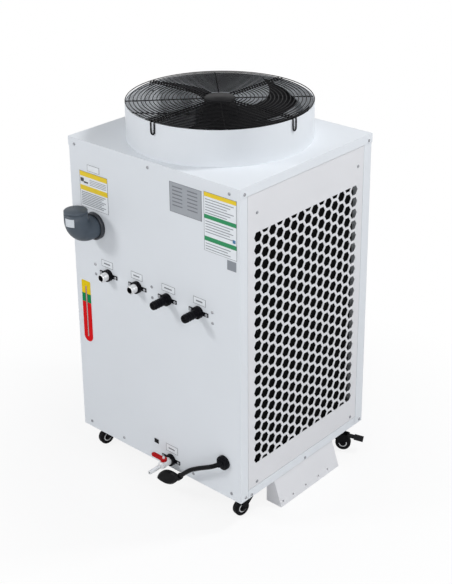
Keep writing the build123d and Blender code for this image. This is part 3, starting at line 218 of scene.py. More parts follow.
def wire(path, radius, sides=8, closed=False):
    """A round wire along a path of points: at each point, a circle of the wire's radius in
    the plane across the path, with its ends drawn to a point."""
    path = np.asarray(path, float)
    if closed:
        ahead, behind = np.roll(path, -1, 0), np.roll(path, 1, 0)
    else:
        ahead, behind = np.vstack([path[1:], path[-1:]]), np.vstack([path[:1], path[:-1]])
    along = ahead - behind
    along /= np.linalg.norm(along, axis=1)[:, None]
    helper = np.where(np.abs(along[:, 2:]) > 0.9, [[1.0, 0, 0]], [[0, 0, 1.0]])
    side = np.cross(along, helper)
    side /= np.linalg.norm(side, axis=1)[:, None]
    lift = np.cross(side, along)
    turn = np.linspace(0, 2 * pi, sides, endpoint=False)
    sideways = np.cos(turn)[None, :, None] * side[:, None]
    upward = np.sin(turn)[None, :, None] * lift[:, None]
    ring = path[:, None] + radius * (sideways + upward)
    if closed:
        ring = np.concatenate([ring, ring[:1]])
    else:
        ring = np.concatenate([np.repeat(path[:1, None], sides, 1), ring, np.repeat(path[-1:, None], sides, 1)])
    return ring[:, ::-1], True


def dome(radius):
    """Height of the guard above the rim at a radius: it rises evenly from rim to hub."""
    return GUARD_RISE * (1 - np.clip((radius - HUB_RADIUS) / (COWL_RADIUS - HUB_RADIUS), 0, 1))


guard_wire, *_ = finish_material("black wire", (0.006, 0.006, 0.007, 1), 0.38, specular=BLACK_SPECULAR)
mottle(guard_wire, 80, (0.004, 0.004, 0.005, 1), (0.008, 0.008, 0.009, 1), 0.33, 0.48, 0.05, 500)
guard_grids = []
for ring_radius in np.linspace(COWL_RADIUS - WIRE / 2, HUB_RADIUS + 0.010, GUARD_RINGS):
    turn = np.linspace(0, 2 * pi, 120, endpoint=False)
    height = RIM + PAIR_WIRE + WIRE / 2 + dome(ring_radius)
    path = np.column_stack(
        [
            FAN_X + ring_radius * np.cos(turn),
            FAN_Y + ring_radius * np.sin(turn),
            np.full_like(turn, height),
        ]
    )
    guard_grids.append(wire(path, WIRE / 2, 6, closed=True))
for eighth in range(8):
    heading = eighth * pi / 4
    outward = np.array([cos(heading), sin(heading)])
    across = np.array([-outward[1], outward[0]])
    reach = np.linspace(HUB_RADIUS * 0.5, COWL_RADIUS - WIRE, 14)
    rise = RIM + PAIR_WIRE / 2 + dome(reach)
    if eighth % 2:
        path = np.column_stack([FAN_X + reach * outward[0], FAN_Y + reach * outward[1], rise])
        guard_grids.append(wire(path, SINGLE_WIRE / 2))
        continue
    bend = np.linspace(0, pi / 2, 6)[1:]
    over_reach = COWL_RADIUS + PAIR_WIRE / 2 - HOOK_CORNER + HOOK_CORNER * np.sin(bend)
    over_rise = RIM + PAIR_WIRE / 2 - HOOK_CORNER + HOOK_CORNER * np.cos(bend)
    loop = np.linspace(0, pi, 11)[1:-1]
    loop_radius = PAIR_SPACING / 2
    fall = RIM - HOOK_DROP + loop_radius
    wall_reach = COWL_RADIUS + PAIR_WIRE / 2
    side_reach = np.concatenate([reach, over_reach, [wall_reach]])
    side_rise = np.concatenate([rise, over_rise, [fall]])
    offset = np.full_like(side_reach, loop_radius)
    loop_offset = loop_radius * np.cos(loop)
    loop_rise = fall - loop_radius * np.sin(loop)
    all_reach = np.concatenate([side_reach, np.full_like(loop, wall_reach), side_reach[::-1]])
    all_rise = np.concatenate([side_rise, loop_rise, side_rise[::-1]])
    all_offset = np.concatenate([offset, loop_offset, -offset])
    path = np.column_stack(
        [
            FAN_X + all_reach * outward[0] + all_offset * across[0],
            FAN_Y + all_reach * outward[1] + all_offset * across[1],
            all_rise,
        ]
    )
    guard_grids.append(wire(path, PAIR_WIRE / 2))


def turned(profile, origin, axis, sides=48):
    """A turned piece: a profile of radius and distance pairs carried round an axis. Its faces
    point outwards where the profile's outer side runs the way that the axis points."""
    axis = np.asarray(axis, float) / np.linalg.norm(axis)
    helper = np.array([0, 0, 1.0]) if abs(axis[2]) < 0.9 else np.array([1.0, 0, 0])
    side = np.cross(helper, axis)
    side /= np.linalg.norm(side)
    lift = np.cross(axis, side)
    turn = np.linspace(0, 2 * pi, sides, endpoint=False)
    radii, runs = np.asarray(profile, float).T
    circle = np.cos(turn)[:, None] * side + np.sin(turn)[:, None] * lift
    grid = np.asarray(origin, float) + radii[:, None, None] * circle[None] + runs[:, None, None] * axis
    return grid, True


HUB_STEP = 0.0008
hub_profile = [
    (0, HUB_TOP),
    (0.018, HUB_TOP),
    (0.020, HUB_TOP - HUB_STEP),
    (HUB_RADIUS - 0.004, HUB_TOP - HUB_STEP),
    (HUB_RADIUS, HUB_TOP - 0.0035),
    (HUB_RADIUS, WIRE),
    (0, WIRE),
]
guard_grids.append(turned(hub_profile[::-1], (FAN_X, FAN_Y, RIM), (0, 0, 1), 64))
wire_guard = add_surface("wire_guard", guard_grids, guard_wire)
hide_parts("fan_guard")

# Filler elbow: a dark grey moulded pipe bend, a smooth quarter turn that is open down to
# the tank. A flat cap plugs its mouth, a collar holds it on the panel, and it bears a
# small blank sticker.
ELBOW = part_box("filler_elbow")
ELBOW_RADIUS = 0.036
ELBOW_X = (ELBOW[0].x + ELBOW[1].x) / 2
ELBOW_Z = ELBOW[0].z + ELBOW_RADIUS
ELBOW_FRONT = ELBOW[0].y + ELBOW_RADIUS
ELBOW_BEND = 0.045
ELBOW_WALL = 0.005
PATCH_LIFT = 0.0003
PORT_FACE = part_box("port_panel")[0].y
pipe_grey, *_ = finish_material("grey pipe", (0.052, 0.070, 0.092, 1), 0.5)
mottle(pipe_grey, 25, (0.048, 0.065, 0.086, 1), (0.056, 0.075, 0.098, 1), 0.45, 0.58, 0.06, 400)


def pipe_bend(radius):
    """A pipe's wall along the elbow: circles across a straight run, a quarter turn of the
    bend's radius and a straight rise."""
    turn = np.linspace(0, pi / 2, 25)
    bend_y = ELBOW_FRONT + ELBOW_BEND - ELBOW_BEND * np.sin(turn)
    bend_z = ELBOW_Z + ELBOW_BEND - ELBOW_BEND * np.cos(turn)
    y = np.concatenate([[ELBOW[1].y, PORT_FACE], bend_y, [ELBOW_FRONT]])
    z = np.concatenate([[ELBOW_Z, ELBOW_Z], bend_z, [ELBOW[1].z]])
    lean = np.concatenate([[0, 0], turn, [pi / 2]])
    round_turn = np.linspace(0, 2 * pi, 64, endpoint=False)
    x = ELBOW_X + radius * np.cos(round_turn)
    across_y = radius * np.sin(round_turn)[None, :] * np.sin(lean)[:, None]
    across_z = radius * np.sin(round_turn)[None, :] * np.cos(lean)[:, None]
    x = np.broadcast_to(x, across_y.shape)
    return np.stack([x, y[:, None] + across_y, z[:, None] + across_z], -1)


outside, inside = pipe_bend(ELBOW_RADIUS - PATCH_LIFT), pipe_bend(ELBOW_RADIUS - ELBOW_WALL)
smooth_elbow = np.concatenate([outside, inside[::-1], outside[:1]])
elbow = add_surface("pipe_elbow", [(smooth_elbow, True)], pipe_grey)
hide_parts("filler_elbow")
PATCH_FOOT = ELBOW[1].z - 0.034
PATCH_TOP = ELBOW[1].z - 0.009
patch_turn = np.radians(np.linspace(-100, -50, 16))
patch_x = ELBOW_X + ELBOW_RADIUS * np.cos(patch_turn)
patch_y = ELBOW_FRONT + ELBOW_RADIUS * np.sin(patch_turn)
patch_rows = [np.stack([patch_x, patch_y, np.full_like(patch_turn, z)], -1) for z in (PATCH_FOOT, PATCH_TOP)]
patch_paper, *_ = finish_material("blank sticker", (0.62, 0.66, 0.70, 1), 0.5)
mottle(patch_paper, 40, (0.58, 0.62, 0.66, 1), (0.66, 0.70, 0.74, 1), 0.45, 0.55, 0.03, 500)
add_surface("blank_sticker", [(np.stack(patch_rows), False)], patch_paper)
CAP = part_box("filler_cap")
CAP_SEAT = ELBOW[1].z + 0.0003
CAP_TOP = CAP[1].z - CAP_SEAT
CAP_RADIUS = ELBOW_RADIUS - 0.0005
SPIGOT_RADIUS = 0.0304
SPIGOT_BORE_RADIUS = 0.0274
SPIGOT_FOOT = -0.016
CAP_UNDERSIDE = -0.0005
cap_profile = [
    (0, CAP_TOP),
    (ELBOW_RADIUS - 0.0025, CAP_TOP),
    (CAP_RADIUS, CAP_TOP - 0.002),
    (CAP_RADIUS, 0),
    (SPIGOT_RADIUS, 0),
    (SPIGOT_RADIUS, SPIGOT_FOOT),
    (SPIGOT_BORE_RADIUS, SPIGOT_FOOT),
    (SPIGOT_BORE_RADIUS, CAP_UNDERSIDE),
    (0, CAP_UNDERSIDE),
]
cap_grid = turned(cap_profile[::-1], (ELBOW_X, ELBOW_FRONT, CAP_SEAT), (0, 0, 1), 64)
cap = add_surface("turned_cap", [cap_grid], pipe_grey, "cap")
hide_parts("filler_cap")
COLLAR_BORE_RADIUS = 0.0362
COLLAR_RADIUS = 0.043
COLLAR_THICKNESS = 0.012
collar_profile = [
    (COLLAR_BORE_RADIUS, 0),
    (COLLAR_RADIUS, 0),
    (COLLAR_RADIUS, COLLAR_THICKNESS - 0.002),
    (COLLAR_RADIUS - 0.002, COLLAR_THICKNESS),
    (COLLAR_BORE_RADIUS, COLLAR_THICKNESS),
    (COLLAR_BORE_RADIUS, 0),
]
collar_grey, *_ = finish_material("collar plastic", (0.016, 0.020, 0.027, 1), 0.45)
mottle(collar_grey, 30, (0.02, 0.024, 0.032, 1), (0.025, 0.03, 0.038, 1), 0.4, 0.52, 0.08, 600)
collar_grid = turned(collar_profile, (ELBOW_X, PORT_FACE, ELBOW_Z), (0, -1, 0), 64)
collar = add_surface("elbow_collar", [collar_grid], collar_grey)
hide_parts("filler_collar")

# Port fittings: black moulded collars screwed to the panel by their ears, two turned
# bright nipples with a pipe thread, and two black moulded barbs whose ridges grip a hose.
bright_steel, *_ = finish_material("bright steel", (0.66, 0.67, 0.69, 1), 0.36, 0.6)
mottle(bright_steel, 90, (0.62, 0.63, 0.65, 1), (0.72, 0.73, 0.74, 1), 0.3, 0.44, 0.04, 600)
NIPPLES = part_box("threaded_nipples")
NIPPLE_RADIUS = (NIPPLES[1].z - NIPPLES[0].z) / 2
PORT_Z = (NIPPLES[1].z + NIPPLES[0].z) / 2
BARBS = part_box("hose_barbs")
COLLAR_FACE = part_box("port_collars")[0].y
THREAD_PITCH = 0.0018
THREAD_DEPTH = 0.0009
THREAD_STEPS = 6
SHANK_RADIUS = 0.0125
NIPPLE_BORE_RADIUS = 0.010
BORE_SHADE_RADIUS = 0.0099
MOUTH_BEVEL = 0.0022
black_plastic, *_ = finish_material("black plastic", (0.006, 0.006, 0.008, 1), 0.36, specular=BLACK_SPECULAR)
mottle(black_plastic, 40, (0.005, 0.005, 0.007, 1), (0.008, 0.008, 0.01, 1), 0.31, 0.45, 0.1, 700)
nipple_grids = []
# Black tubes inside the nipples' bores paint the shade down the open pipes.
bore_shade_grids = []
for centre in (NIPPLES[0].x + NIPPLE_RADIUS, NIPPLES[1].x - NIPPLE_RADIUS):
    # The radius is the nipple's less the thread's depth times a triangle wave of the
    # distance along the nipple in pitches, less the turn round it.
    run = np.arange(COLLAR_FACE, NIPPLES[0].y + 0.002, -THREAD_PITCH / THREAD_STEPS)
    turn = np.linspace(0, 2 * pi, 48, endpoint=False)
    phase = (run[:, None] / THREAD_PITCH - turn[None, :] / (2 * pi)) % 1
    radius = NIPPLE_RADIUS - THREAD_DEPTH * np.abs(2 * phase - 1)
    along = np.broadcast_to(run[:, None], radius.shape)
    thread = np.stack([centre + radius * np.cos(turn), along, PORT_Z + radius * np.sin(turn)], -1)
    nipple_grids.append((thread, True))
    end, tail = NIPPLES[0].y, NIPPLES[1].y
    shank = [(NIPPLE_RADIUS, COLLAR_FACE), (SHANK_RADIUS, COLLAR_FACE), (SHANK_RADIUS, tail)]
    nipple_grids.append(turned(shank, (centre, 0, PORT_Z), (0, 1, 0)))
    mouth = [
        (SHANK_RADIUS, tail),
        (NIPPLE_BORE_RADIUS, tail),
        (NIPPLE_BORE_RADIUS, end),
        (NIPPLE_RADIUS - MOUTH_BEVEL, end),
        (NIPPLE_RADIUS - THREAD_DEPTH, run[-1]),
    ]
    nipple_grids.append(turned(mouth, (centre, 0, PORT_Z), (0, 1, 0)))
    # A black tube inside the bore paints the shade down the open pipe; its faces point at its axis.
    bore_shade_profile = [(BORE_SHADE_RADIUS, tail), (BORE_SHADE_RADIUS, end + 0.0006)]
    bore_shade_grids.append(turned(bore_shade_profile, (centre, 0, PORT_Z), (0, 1, 0)))
nipples = add_surface("threaded_pipe_ends", nipple_grids, bright_steel)
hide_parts("threaded_nipples")
add_surface("nipple_bore_shade", bore_shade_grids, black_plastic)
BARB_END = BARBS[0].y
RIDGE_RADIUS = (BARBS[1].z - BARBS[0].z) / 2
BARB_BORE_RADIUS = 0.009
BARB_ROOT_RADIUS = 0.0118
RIDGES = 4
RIDGE_PITCH = 0.0105
barb_grids = []
for centre in (BARBS[0].x + RIDGE_RADIUS, BARBS[1].x - RIDGE_RADIUS):
    barb_profile = [
        (BARB_BORE_RADIUS, BARBS[1].y),
        (SHANK_RADIUS, BARBS[1].y),
        (SHANK_RADIUS, COLLAR_FACE),
        (BARB_ROOT_RADIUS, COLLAR_FACE),
    ]
    for ridge in range(RIDGES):
        start = BARB_END + (RIDGES - ridge) * RIDGE_PITCH
        barb_profile += [
            (BARB_ROOT_RADIUS, start),
            (0.0131, start),
            (0.0133, start - 0.0008),
            (BARB_ROOT_RADIUS, start - 0.0098),
        ]
    barb_profile += [(0.0112, BARB_END), (BARB_BORE_RADIUS, BARB_END), (BARB_BORE_RADIUS, BARBS[1].y)]
    barb_grids.append(turned(barb_profile[::-1], (centre, 0, PORT_Z), (0, 1, 0)))
barbs = add_surface("ridged_hose_ends", barb_grids, black_plastic)
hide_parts("hose_barbs")
for node in ("port_collars", "blank_plug"):
    dress(node, black_plastic)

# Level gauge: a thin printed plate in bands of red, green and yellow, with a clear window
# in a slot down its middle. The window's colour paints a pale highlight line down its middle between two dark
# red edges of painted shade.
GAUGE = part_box("level_gauge")
GAUGE_FOOT_MM = 315
GAUGE_SPAN_MM = 211
RED_TOP_MM = 452.5
GREEN_TOP_MM = 482
WINDOW_HALF_WIDTH = 0.0035
WINDOW_PAINTED_SHADE = (0.30, 0.03, 0.03, 1)
WINDOW_PAINTED_HIGHLIGHT = (0.66, 0.66, 0.64, 1)


def stepped(material, axis, low, high, steps):
    """Plain bands along one of the Object coordinates: the way from low to high counts from
    0 to 1, and each step gives the share where its colour starts."""
    tree = material.node_tree
    place = tree.nodes.new("ShaderNodeTexCoord")
    axes = tree.nodes.new("ShaderNodeSeparateXYZ")
    share = tree.nodes.new("ShaderNodeMapRange")
    share.inputs["From Min"].default_value = low
    share.inputs["From Max"].default_value = high
    tint = tree.nodes.new("ShaderNodeValToRGB")
    tint.color_ramp.interpolation = "CONSTANT"
    stops = tint.color_ramp.elements
    stops[0].color = steps[0][1]
    stops[1].position, stops[1].color = steps[-1]
    for position, colour in steps[1:-1]:
        stops.new(position).color = colour
    tree.links.new(place.outputs["Object"], axes.inputs["Vector"])
    tree.links.new(axes.outputs[axis], share.inputs["Value"])
    tree.links.new(share.outputs["Result"], tint.inputs["Fac"])
    tree.links.new(tint.outputs["Color"], tree.nodes["Principled BSDF"].inputs["Base Color"])


bands, *_ = finish_material("gauge bands", (0.8, 0.6, 0.03, 1), 0.55, specular=0.1)
band_steps = [
    (0, (0.68, 0.001, 0.004, 1)),
    ((RED_TOP_MM - GAUGE_FOOT_MM) / GAUGE_SPAN_MM, (0.0, 0.22, 0.07, 1)),
    ((GREEN_TOP_MM - GAUGE_FOOT_MM) / GAUGE_SPAN_MM, (0.80, 0.58, 0.004, 1)),
]
stepped(bands, "Z", GAUGE[0].z, GAUGE[1].z, band_steps)
dress("level_gauge", bands)
# The window's bands are painted light: a pale highlight line between two dark red edges of painted shade.
window, *_ = finish_material("clear window", (0.7, 0.7, 0.7, 1), 0.2)
GAUGE_MIDDLE = (GAUGE[0].x + GAUGE[1].x) / 2
window_light_steps = [(0, WINDOW_PAINTED_SHADE), (0.38, WINDOW_PAINTED_HIGHLIGHT), (0.62, WINDOW_PAINTED_SHADE)]
stepped(window, "X", GAUGE_MIDDLE - WINDOW_HALF_WIDTH, GAUGE_MIDDLE + WINDOW_HALF_WIDTH, window_light_steps)
dress("level_window", window)

# Drain: a plated valve body with a straight nozzle, screwed into its flange, and a red
# moulded lever that lies across the flow when the valve is shut.
pale_plate, *_ = finish_material("pale plated brass", (0.80, 0.81, 0.82, 1), 0.34, 0.25)
mottle(pale_plate, 70, (0.76, 0.77, 0.78, 1), (0.84, 0.85, 0.86, 1), 0.28, 0.42, 0.05, 500)
dress("drain_valve", pale_plate)
red_plastic, *_ = finish_material("red plastic", (0.42, 0.001, 0.003, 1), 0.5, specular=0.1)
mottle(red_plastic, 50, (0.40, 0.001, 0.002, 1), (0.45, 0.001, 0.004, 1), 0.45, 0.58, 0.08, 600)
dress("drain_lever", red_plastic)

# Mains lead: a stiff round black cord with a rubber jacket. It leaves the panel through a
# moulded gland and ends in a leaf-shaped boot moulded on it.
CORD_RADIUS = 0.007
CORD_BENDS = (
    (600.3, 20.5, 113.6),
    (592.0, 29.7, 110.0),
    (571.5, 29.5, 97.5),
    (531.0, 28.5, 75.5),
    (488.0, 28.0, 48.5),
    (454.0, 27.0, 13.0),
)
CABINET_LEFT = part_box("port_panel")[0].x
CABINET_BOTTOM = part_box("port_panel")[0].z
cord_jacket, *_ = finish_material("cord jacket", (0.005, 0.005, 0.006, 1), 0.34, specular=BLACK_SPECULAR)
mottle(cord_jacket, 60, (0.004, 0.004, 0.005, 1), (0.007, 0.007, 0.008, 1), 0.3, 0.42, 0.12, 900)
cord_curve = bpy.data.curves.new("mains_lead", "CURVE")
cord_curve.dimensions = "3D"
cord_curve.bevel_depth = CORD_RADIUS
cord_curve.bevel_resolution = 6
cord_curve.resolution_u = 12
cord_curve.use_fill_caps = True
spline = cord_curve.splines.new("NURBS")
spline.points.add(len(CORD_BENDS) - 1)
cord_line = [
    Vector((CABINET_LEFT + x / 1000, PORT_FACE - reach / 1000, CABINET_BOTTOM + z / 1000))
    for x, reach, z in CORD_BENDS
]
for point, place in zip(spline.points, cord_line):
    point.co = (*place, 1)
spline.order_u = 3
spline.use_endpoint_u = True
cord_curve.materials.append(cord_jacket)
mains_lead = bpy.data.objects.new("mains_lead", cord_curve)
bpy.context.scene.collection.objects.link(mains_lead)
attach(mains_lead, "chiller")
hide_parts("power_cord")
dress("cord_boot", cord_jacket)
dress("cable_gland", black_plastic)

# Casters: pressed forks and brake pedals in black enamel on bolted plates, and black
# rubber-faced wheels. A bright ring is pressed into each side of a wheel round its hub.
WHEEL_HALF_WIDTH = 0.010
WHEEL_DISH = 0.0088
TREAD_SIDE = [
    (0.0031, -WHEEL_HALF_WIDTH),
    (0.0065, -WHEEL_HALF_WIDTH),
    (0.0068, -WHEEL_DISH),
    (0.015, -WHEEL_DISH),
    (0.0165, -WHEEL_HALF_WIDTH),
    (0.022, -WHEEL_HALF_WIDTH),
    (0.0243, -WHEEL_DISH),
    (0.02499, -0.006),
]
RING_FOOT = 0.0089
RING_FACE = 0.0098
RING_BAND = [(0.0098, RING_FOOT), (0.0100, RING_FACE), (0.0132, RING_FACE), (0.0134, RING_FOOT)]
plated, *_ = finish_material("plated pressing", (0.55, 0.56, 0.57, 1), 0.3, 1.0)
mottle(plated, 70, (0.48, 0.49, 0.5, 1), (0.6, 0.61, 0.62, 1), 0.24, 0.42, 0.05, 500)
wheel_rubber, *_ = finish_material("wheel rubber", (0.006, 0.006, 0.007, 1), 0.42, specular=BLACK_SPECULAR)
mottle(wheel_rubber, 60, (0.005, 0.005, 0.006, 1), (0.008, 0.008, 0.009, 1), 0.38, 0.52, 0.15, 700)
dress("caster_plates", black_enamel)
wheel_joints = {joint["child"]: joint for joint in frame["joints"]}
for node in list(nodes):
    if node.startswith(("caster_fork", "brake_pedal")):
        dress(node, black_enamel)
    if not node.startswith("caster_wheel_"):
        continue
    place = node[len("caster_wheel_") :]
    joint = wheel_joints["wheel_" + place]
    tread = TREAD_SIDE + [(radius, -run) for radius, run in TREAD_SIDE[::-1]] + TREAD_SIDE[:1]
    wheel_grid = turned(tread, joint["pos_m"], joint["axis"], 64)
    wheel = add_surface("rolled_wheel_" + place, [wheel_grid], wheel_rubber, "wheel_" + place)
    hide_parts(node)
    hub_rings = []
    for face in (-1, 1):
        band = [(radius, run * face) for radius, run in RING_BAND]
        hub_rings.append(turned(band[::-face], joint["pos_m"], joint["axis"], 48))
    add_surface("hub_ring_" + place, hub_rings, plated, "wheel_" + place)

# Screws: zinc-plated pan heads with a dimple for the cross. They hold the cover's skirt,
# the grille, the port panel, the fittings' ears and the guard's hooks, whose four screws
# also show their ends inside the cowl.
PAN_RADIUS = 0.0049
PAN_HEIGHT = 0.0022
PAN_FOOT = -0.0005


def pan_head(place, outward, radius=PAN_RADIUS, height=PAN_HEIGHT):
    """A domed head on a short shank, with a shallow dimple in its middle for the cross."""
    profile = [
        (0, PAN_FOOT),
        (radius, PAN_FOOT),
        (radius, height * 0.35),
        (radius * 0.85, height * 0.75),
        (radius * 0.5, height * 0.96),
        (radius * 0.36, height),
        (radius * 0.3, height * 0.55),
        (0, height * 0.5),
    ]
    return turned(profile, place, outward, 16)


def on_port_face(x, height, reach=0.0):
    """A place on the port panel, from millimetres across it and above the cabinet's foot."""
    return (CABINET_LEFT + x / 1000, PORT_FACE - reach, CABINET_BOTTOM + height / 1000)


GRILLE_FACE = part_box("grille_panel")[1].x


def on_grille_face(depth, height, proud=0.0):
    """A place on the grille's side, from millimetres behind the port panel."""
    return (GRILLE_FACE + proud, PORT_FACE + depth / 1000, CABINET_BOTTOM + height / 1000)


SKIRT_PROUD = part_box("top_cover")[1].x - GRILLE_FACE
EAR_PROUD = 0.0025
EAR_SPREAD = 31
PORT_CENTRES = (148, 271, 394, 517)
PORT_ROW = 578
DRAIN_CENTRE, DRAIN_ROW = 391, 31
COWL_SHEET = 0.002
HOOK_SCREW_HEIGHT = RIM - HOOK_DROP + PAIR_SPACING * 0.55
TOWARD_PORTS = (0, -1, 0)
TOWARD_GRILLE = (1, 0, 0)
port_side = [(x, 970, SKIRT_PROUD) for x in (25, 331.5, 638)]
port_side += [(x, 20, 0) for x in (34.8, 183.6, 483, 636)]
port_side += [(89.9, 596.6, 0), (90.7, 564.2, 0), (330.8, 596.7, 0)]
port_side += [(332, 562.2, 0), (569.7, 593.8, 0), (569.9, 559.5, 0)]
port_side += [(x + side, PORT_ROW, EAR_PROUD) for x in PORT_CENTRES for side in (-EAR_SPREAD, EAR_SPREAD)]
port_side += [(DRAIN_CENTRE + side, DRAIN_ROW, EAR_PROUD) for side in (-EAR_SPREAD, EAR_SPREAD)]
grille_side = [(depth, 971, SKIRT_PROUD) for depth in (18.4, 583.7)]
grille_side += [(depth, height, 0) for depth in (71.5, 534) for height in (903, 42.5)]
grille_side += [(21.6, 11.2, 0), (47.8, 7.7, 0), (301.5, 7.3, 0), (586, 9.8, 0)]
screw_grids = [pan_head(on_port_face(*place), TOWARD_PORTS) for place in port_side]
screw_grids += [pan_head(on_grille_face(*place), TOWARD_GRILLE) for place in grille_side]
for quarter in range(4):
    x, y = cos(quarter * pi / 2), sin(quarter * pi / 2)
    outer = (FAN_X + COWL_RADIUS * x, FAN_Y + COWL_RADIUS * y, HOOK_SCREW_HEIGHT)
    screw_grids.append(pan_head(outer, (x, y, 0), 0.0046, 0.0024))
    bore_radius = COWL_RADIUS - COWL_SHEET
    inner = (FAN_X + bore_radius * x, FAN_Y + bore_radius * y, HOOK_SCREW_HEIGHT)
    screw_grids.append(pan_head(inner, (-x, -y, 0), 0.0042, 0.0032))
screw_steel, *_ = finish_material("zinc screw", (0.30, 0.31, 0.33, 1), 0.3, 0.85)
mottle(screw_steel, 200, (0.22, 0.23, 0.25, 1), (0.4, 0.41, 0.43, 1), 0.24, 0.4, 0.05, 900)
add_surface("pan_screws", screw_grids, screw_steel)

# Labels: thin printed plates and stickers stuck on the port panel, kept to plain fields
# and bars of colour. Each field or bar is a flat leaf, and they lie in front of the base.
LEAF = 0.0003


def leaf(face, left, right, low, high, layer=0):
    """A flat plate on a side of the cabinet: a grid of four corners with its edges turned
    back to the face. Layers stack outward."""
    lift = LEAF * (layer + 1)
    corners = [(left, low), (right, low), (right, high), (left, high)]
    top = np.array([face(a, b, lift) for a, b in corners])
    foot = np.array([face(a, b, 0.0) for a, b in corners])
    middle = top.mean(0, keepdims=True)
    return np.stack([foot, top, np.repeat(middle, 4, 0)]), True


def outline(left, right, low, high, width=0.9):
    """Four thin bars along the edges of a label."""
    bars = [(left, right, high - width, high, 1), (left, right, low, low + width, 1)]
    return bars + [(left, left + width, low, high, 1), (right - width, right, low, high, 1)]


def label(name, face, fields, colours):
    """One printed label: each colour's fields are one mesh of leaves."""
    for colour, leaves in fields.items():
        material, *_ = finish_material(f"{name} {colour}", colours[colour], 0.4)
        base = colours[colour]
        mottle(material, 40, shade(base, 0.97), shade(base, 1.02), 0.36, 0.46, 0.03, 500)
        grids = [leaf(face, *edges) for edges in leaves]
        add_surface(f"{name}_{colour}", grids, material, smooth=False)


PRINT_COLOURS = {
    "white": (0.80, 0.83, 0.86, 1),
    "yellow": (0.80, 0.58, 0.006, 1),
    "green": (0.0, 0.24, 0.08, 1),
    "grey": (0.24, 0.26, 0.29, 1),
    "silver": (0.34, 0.36, 0.39, 1),
    "line": (0.17, 0.18, 0.20, 1),
    "dark": (0.03, 0.03, 0.035, 1),
    "blue": (0.03, 0.16, 0.32, 1),
}
label(
    "caution_panel",
    on_port_face,
    {
        "white": [(40.6, 160, 777.5, 892, 0)],
        "yellow": [(41.6, 159, 876, 891, 1), (41.6, 159, 831.5, 847, 1)],
        "dark": [(44, 58, 858, 870, 1), (58, 76, 855, 860, 1)],
        "line": [(84, 154, 868 - 5 * i, 869.4 - 5 * i, 1) for i in range(4)] + outline(40.6, 160, 777.5, 892),
        "grey": [(46, 150 - 9 * (i % 3), 824 - 5.5 * i, 826.4 - 5.5 * i, 1) for i in range(8)],
    },
    PRINT_COLOURS,
)
label(
    "name_plate",
    on_port_face,
    {
        "silver": [(414, 536, 860.6, 951, 0)],
        "line": [
            (414.5, 535.5, 949.6, 950.6, 1),
            (414.5, 535.5, 861, 862, 1),
            (414.5, 416, 861, 950.6, 1),
            (534, 535.5, 861, 950.6, 1),
        ]
        + [(x, x + 38, 936 - 11 * i, 939.5 - 11 * i, 1) for x in (425, 482) for i in range(6)],
    },
    PRINT_COLOURS,
)
label(
    "hose_notice",
    on_port_face,
    {
        "white": [(544, 662.5, 779, 954, 0)],
        "yellow": [(545, 661.5, 941, 953, 1)],
        "green": [(545, 661.5, 876, 888, 1), (545, 661.5, 810, 823, 1)],
        "blue": [(648, 658, 829, 839, 1)],
        "line": outline(544, 662.5, 779, 954),
        "grey": [(549, 652 - 12 * (i % 3), 932 - 8 * i, 934.3 - 8 * i, 1) for i in range(6)]
        + [(549, 650 - 12 * (i % 2), 867 - 8 * i, 869.3 - 8 * i, 1) for i in range(5)]
        + [(549, 640 - 10 * (i % 2), 801 - 8 * i, 803.3 - 8 * i, 1) for i in range(3)],
    },
    PRINT_COLOURS,
)
label(
    "small_tags",
    on_port_face,
    {
        "white": [(75.6, 127, 897, 917, 0)],
        "grey": [(627, 660, 745, 774, 0)],
        "line": outline(75.6, 127, 897, 917),
    },
    PRINT_COLOURS,
)
port_tags = [(119, 167.5), (245.6, 292.5), (372.5, 425), (497.5, 544.4)]
label(
    "port_tags",
    on_port_face,
    {
        "white": [(left, right, 601, 623, 0) for left, right in port_tags]
        + [(370.6, 419, 55.6, 80.6, 0)],
        "line": [
            bar
            for left, right in port_tags
            for bar in [(left + 10, right - 12, 610, 614, 1), *outline(left, right, 601, 623)]
        ]
        + [(381, 406, 66, 70, 1), *outline(370.6, 419, 55.6, 80.6)],
    },
    PRINT_COLOURS,
)

# Room: a plain white floor and white surroundings, with four soft boxes. The camera
# stands where the photographer stood, to the port side's right and above the roof.
PHOTO_HEIGHT_PX = 584
PHOTO_FOCAL_PX = 1230
PHOTO_SHIFT_PX = -108
SENSOR_MM = 36
FOCAL_LENGTH_MM = PHOTO_FOCAL_PX / PHOTO_HEIGHT_PX * SENSOR_MM
FRAME_SHIFT = PHOTO_SHIFT_PX / PHOTO_HEIGHT_PX
EYE = Vector((2.3119, -2.5107, 2.2754))
LOOK = Vector((-0.61986, 0.69410, -0.36606))
ROLL = radians(-0.538)
camera_data = bpy.data.cameras.new("camera")
camera_data.lens = FOCAL_LENGTH_MM
camera_data.sensor_width = SENSOR_MM
camera_data.shift_y = FRAME_SHIFT
camera = bpy.data.objects.new("camera", camera_data)
bpy.context.scene.collection.objects.link(camera)
facing = LOOK.to_track_quat("-Z", "Y").to_matrix().to_4x4()
camera.matrix_world = Matrix.Translation(EYE) @ facing @ Matrix.Rotation(ROLL, 4, "Z")
bpy.context.scene.camera = camera
bpy.context.scene.view_settings.view_transform = "Standard"


def arithmetic(tree, operation, *values):
    """The output of one Math node: each value is a socket to link, or a plain number."""
    node = tree.nodes.new("ShaderNodeMath")
    node.operation = operation
    for inlet, value in zip(node.inputs, values):
        if isinstance(value, bpy.types.NodeSocket):
            tree.links.new(value, inlet)
        else:
            inlet.default_value = value
    return node.outputs["Value"]


def seen_directly(tree):
    """1 for the camera's own rays, and for mirrored and transmitted ones, and 0 for the rest."""
    rays = tree.nodes.new("ShaderNodeLightPath").outputs
    seen = arithmetic(tree, "MAXIMUM", rays["Is Camera Ray"], rays["Is Glossy Ray"])
    return arithmetic(tree, "MAXIMUM", seen, rays["Is Transmission Ray"])


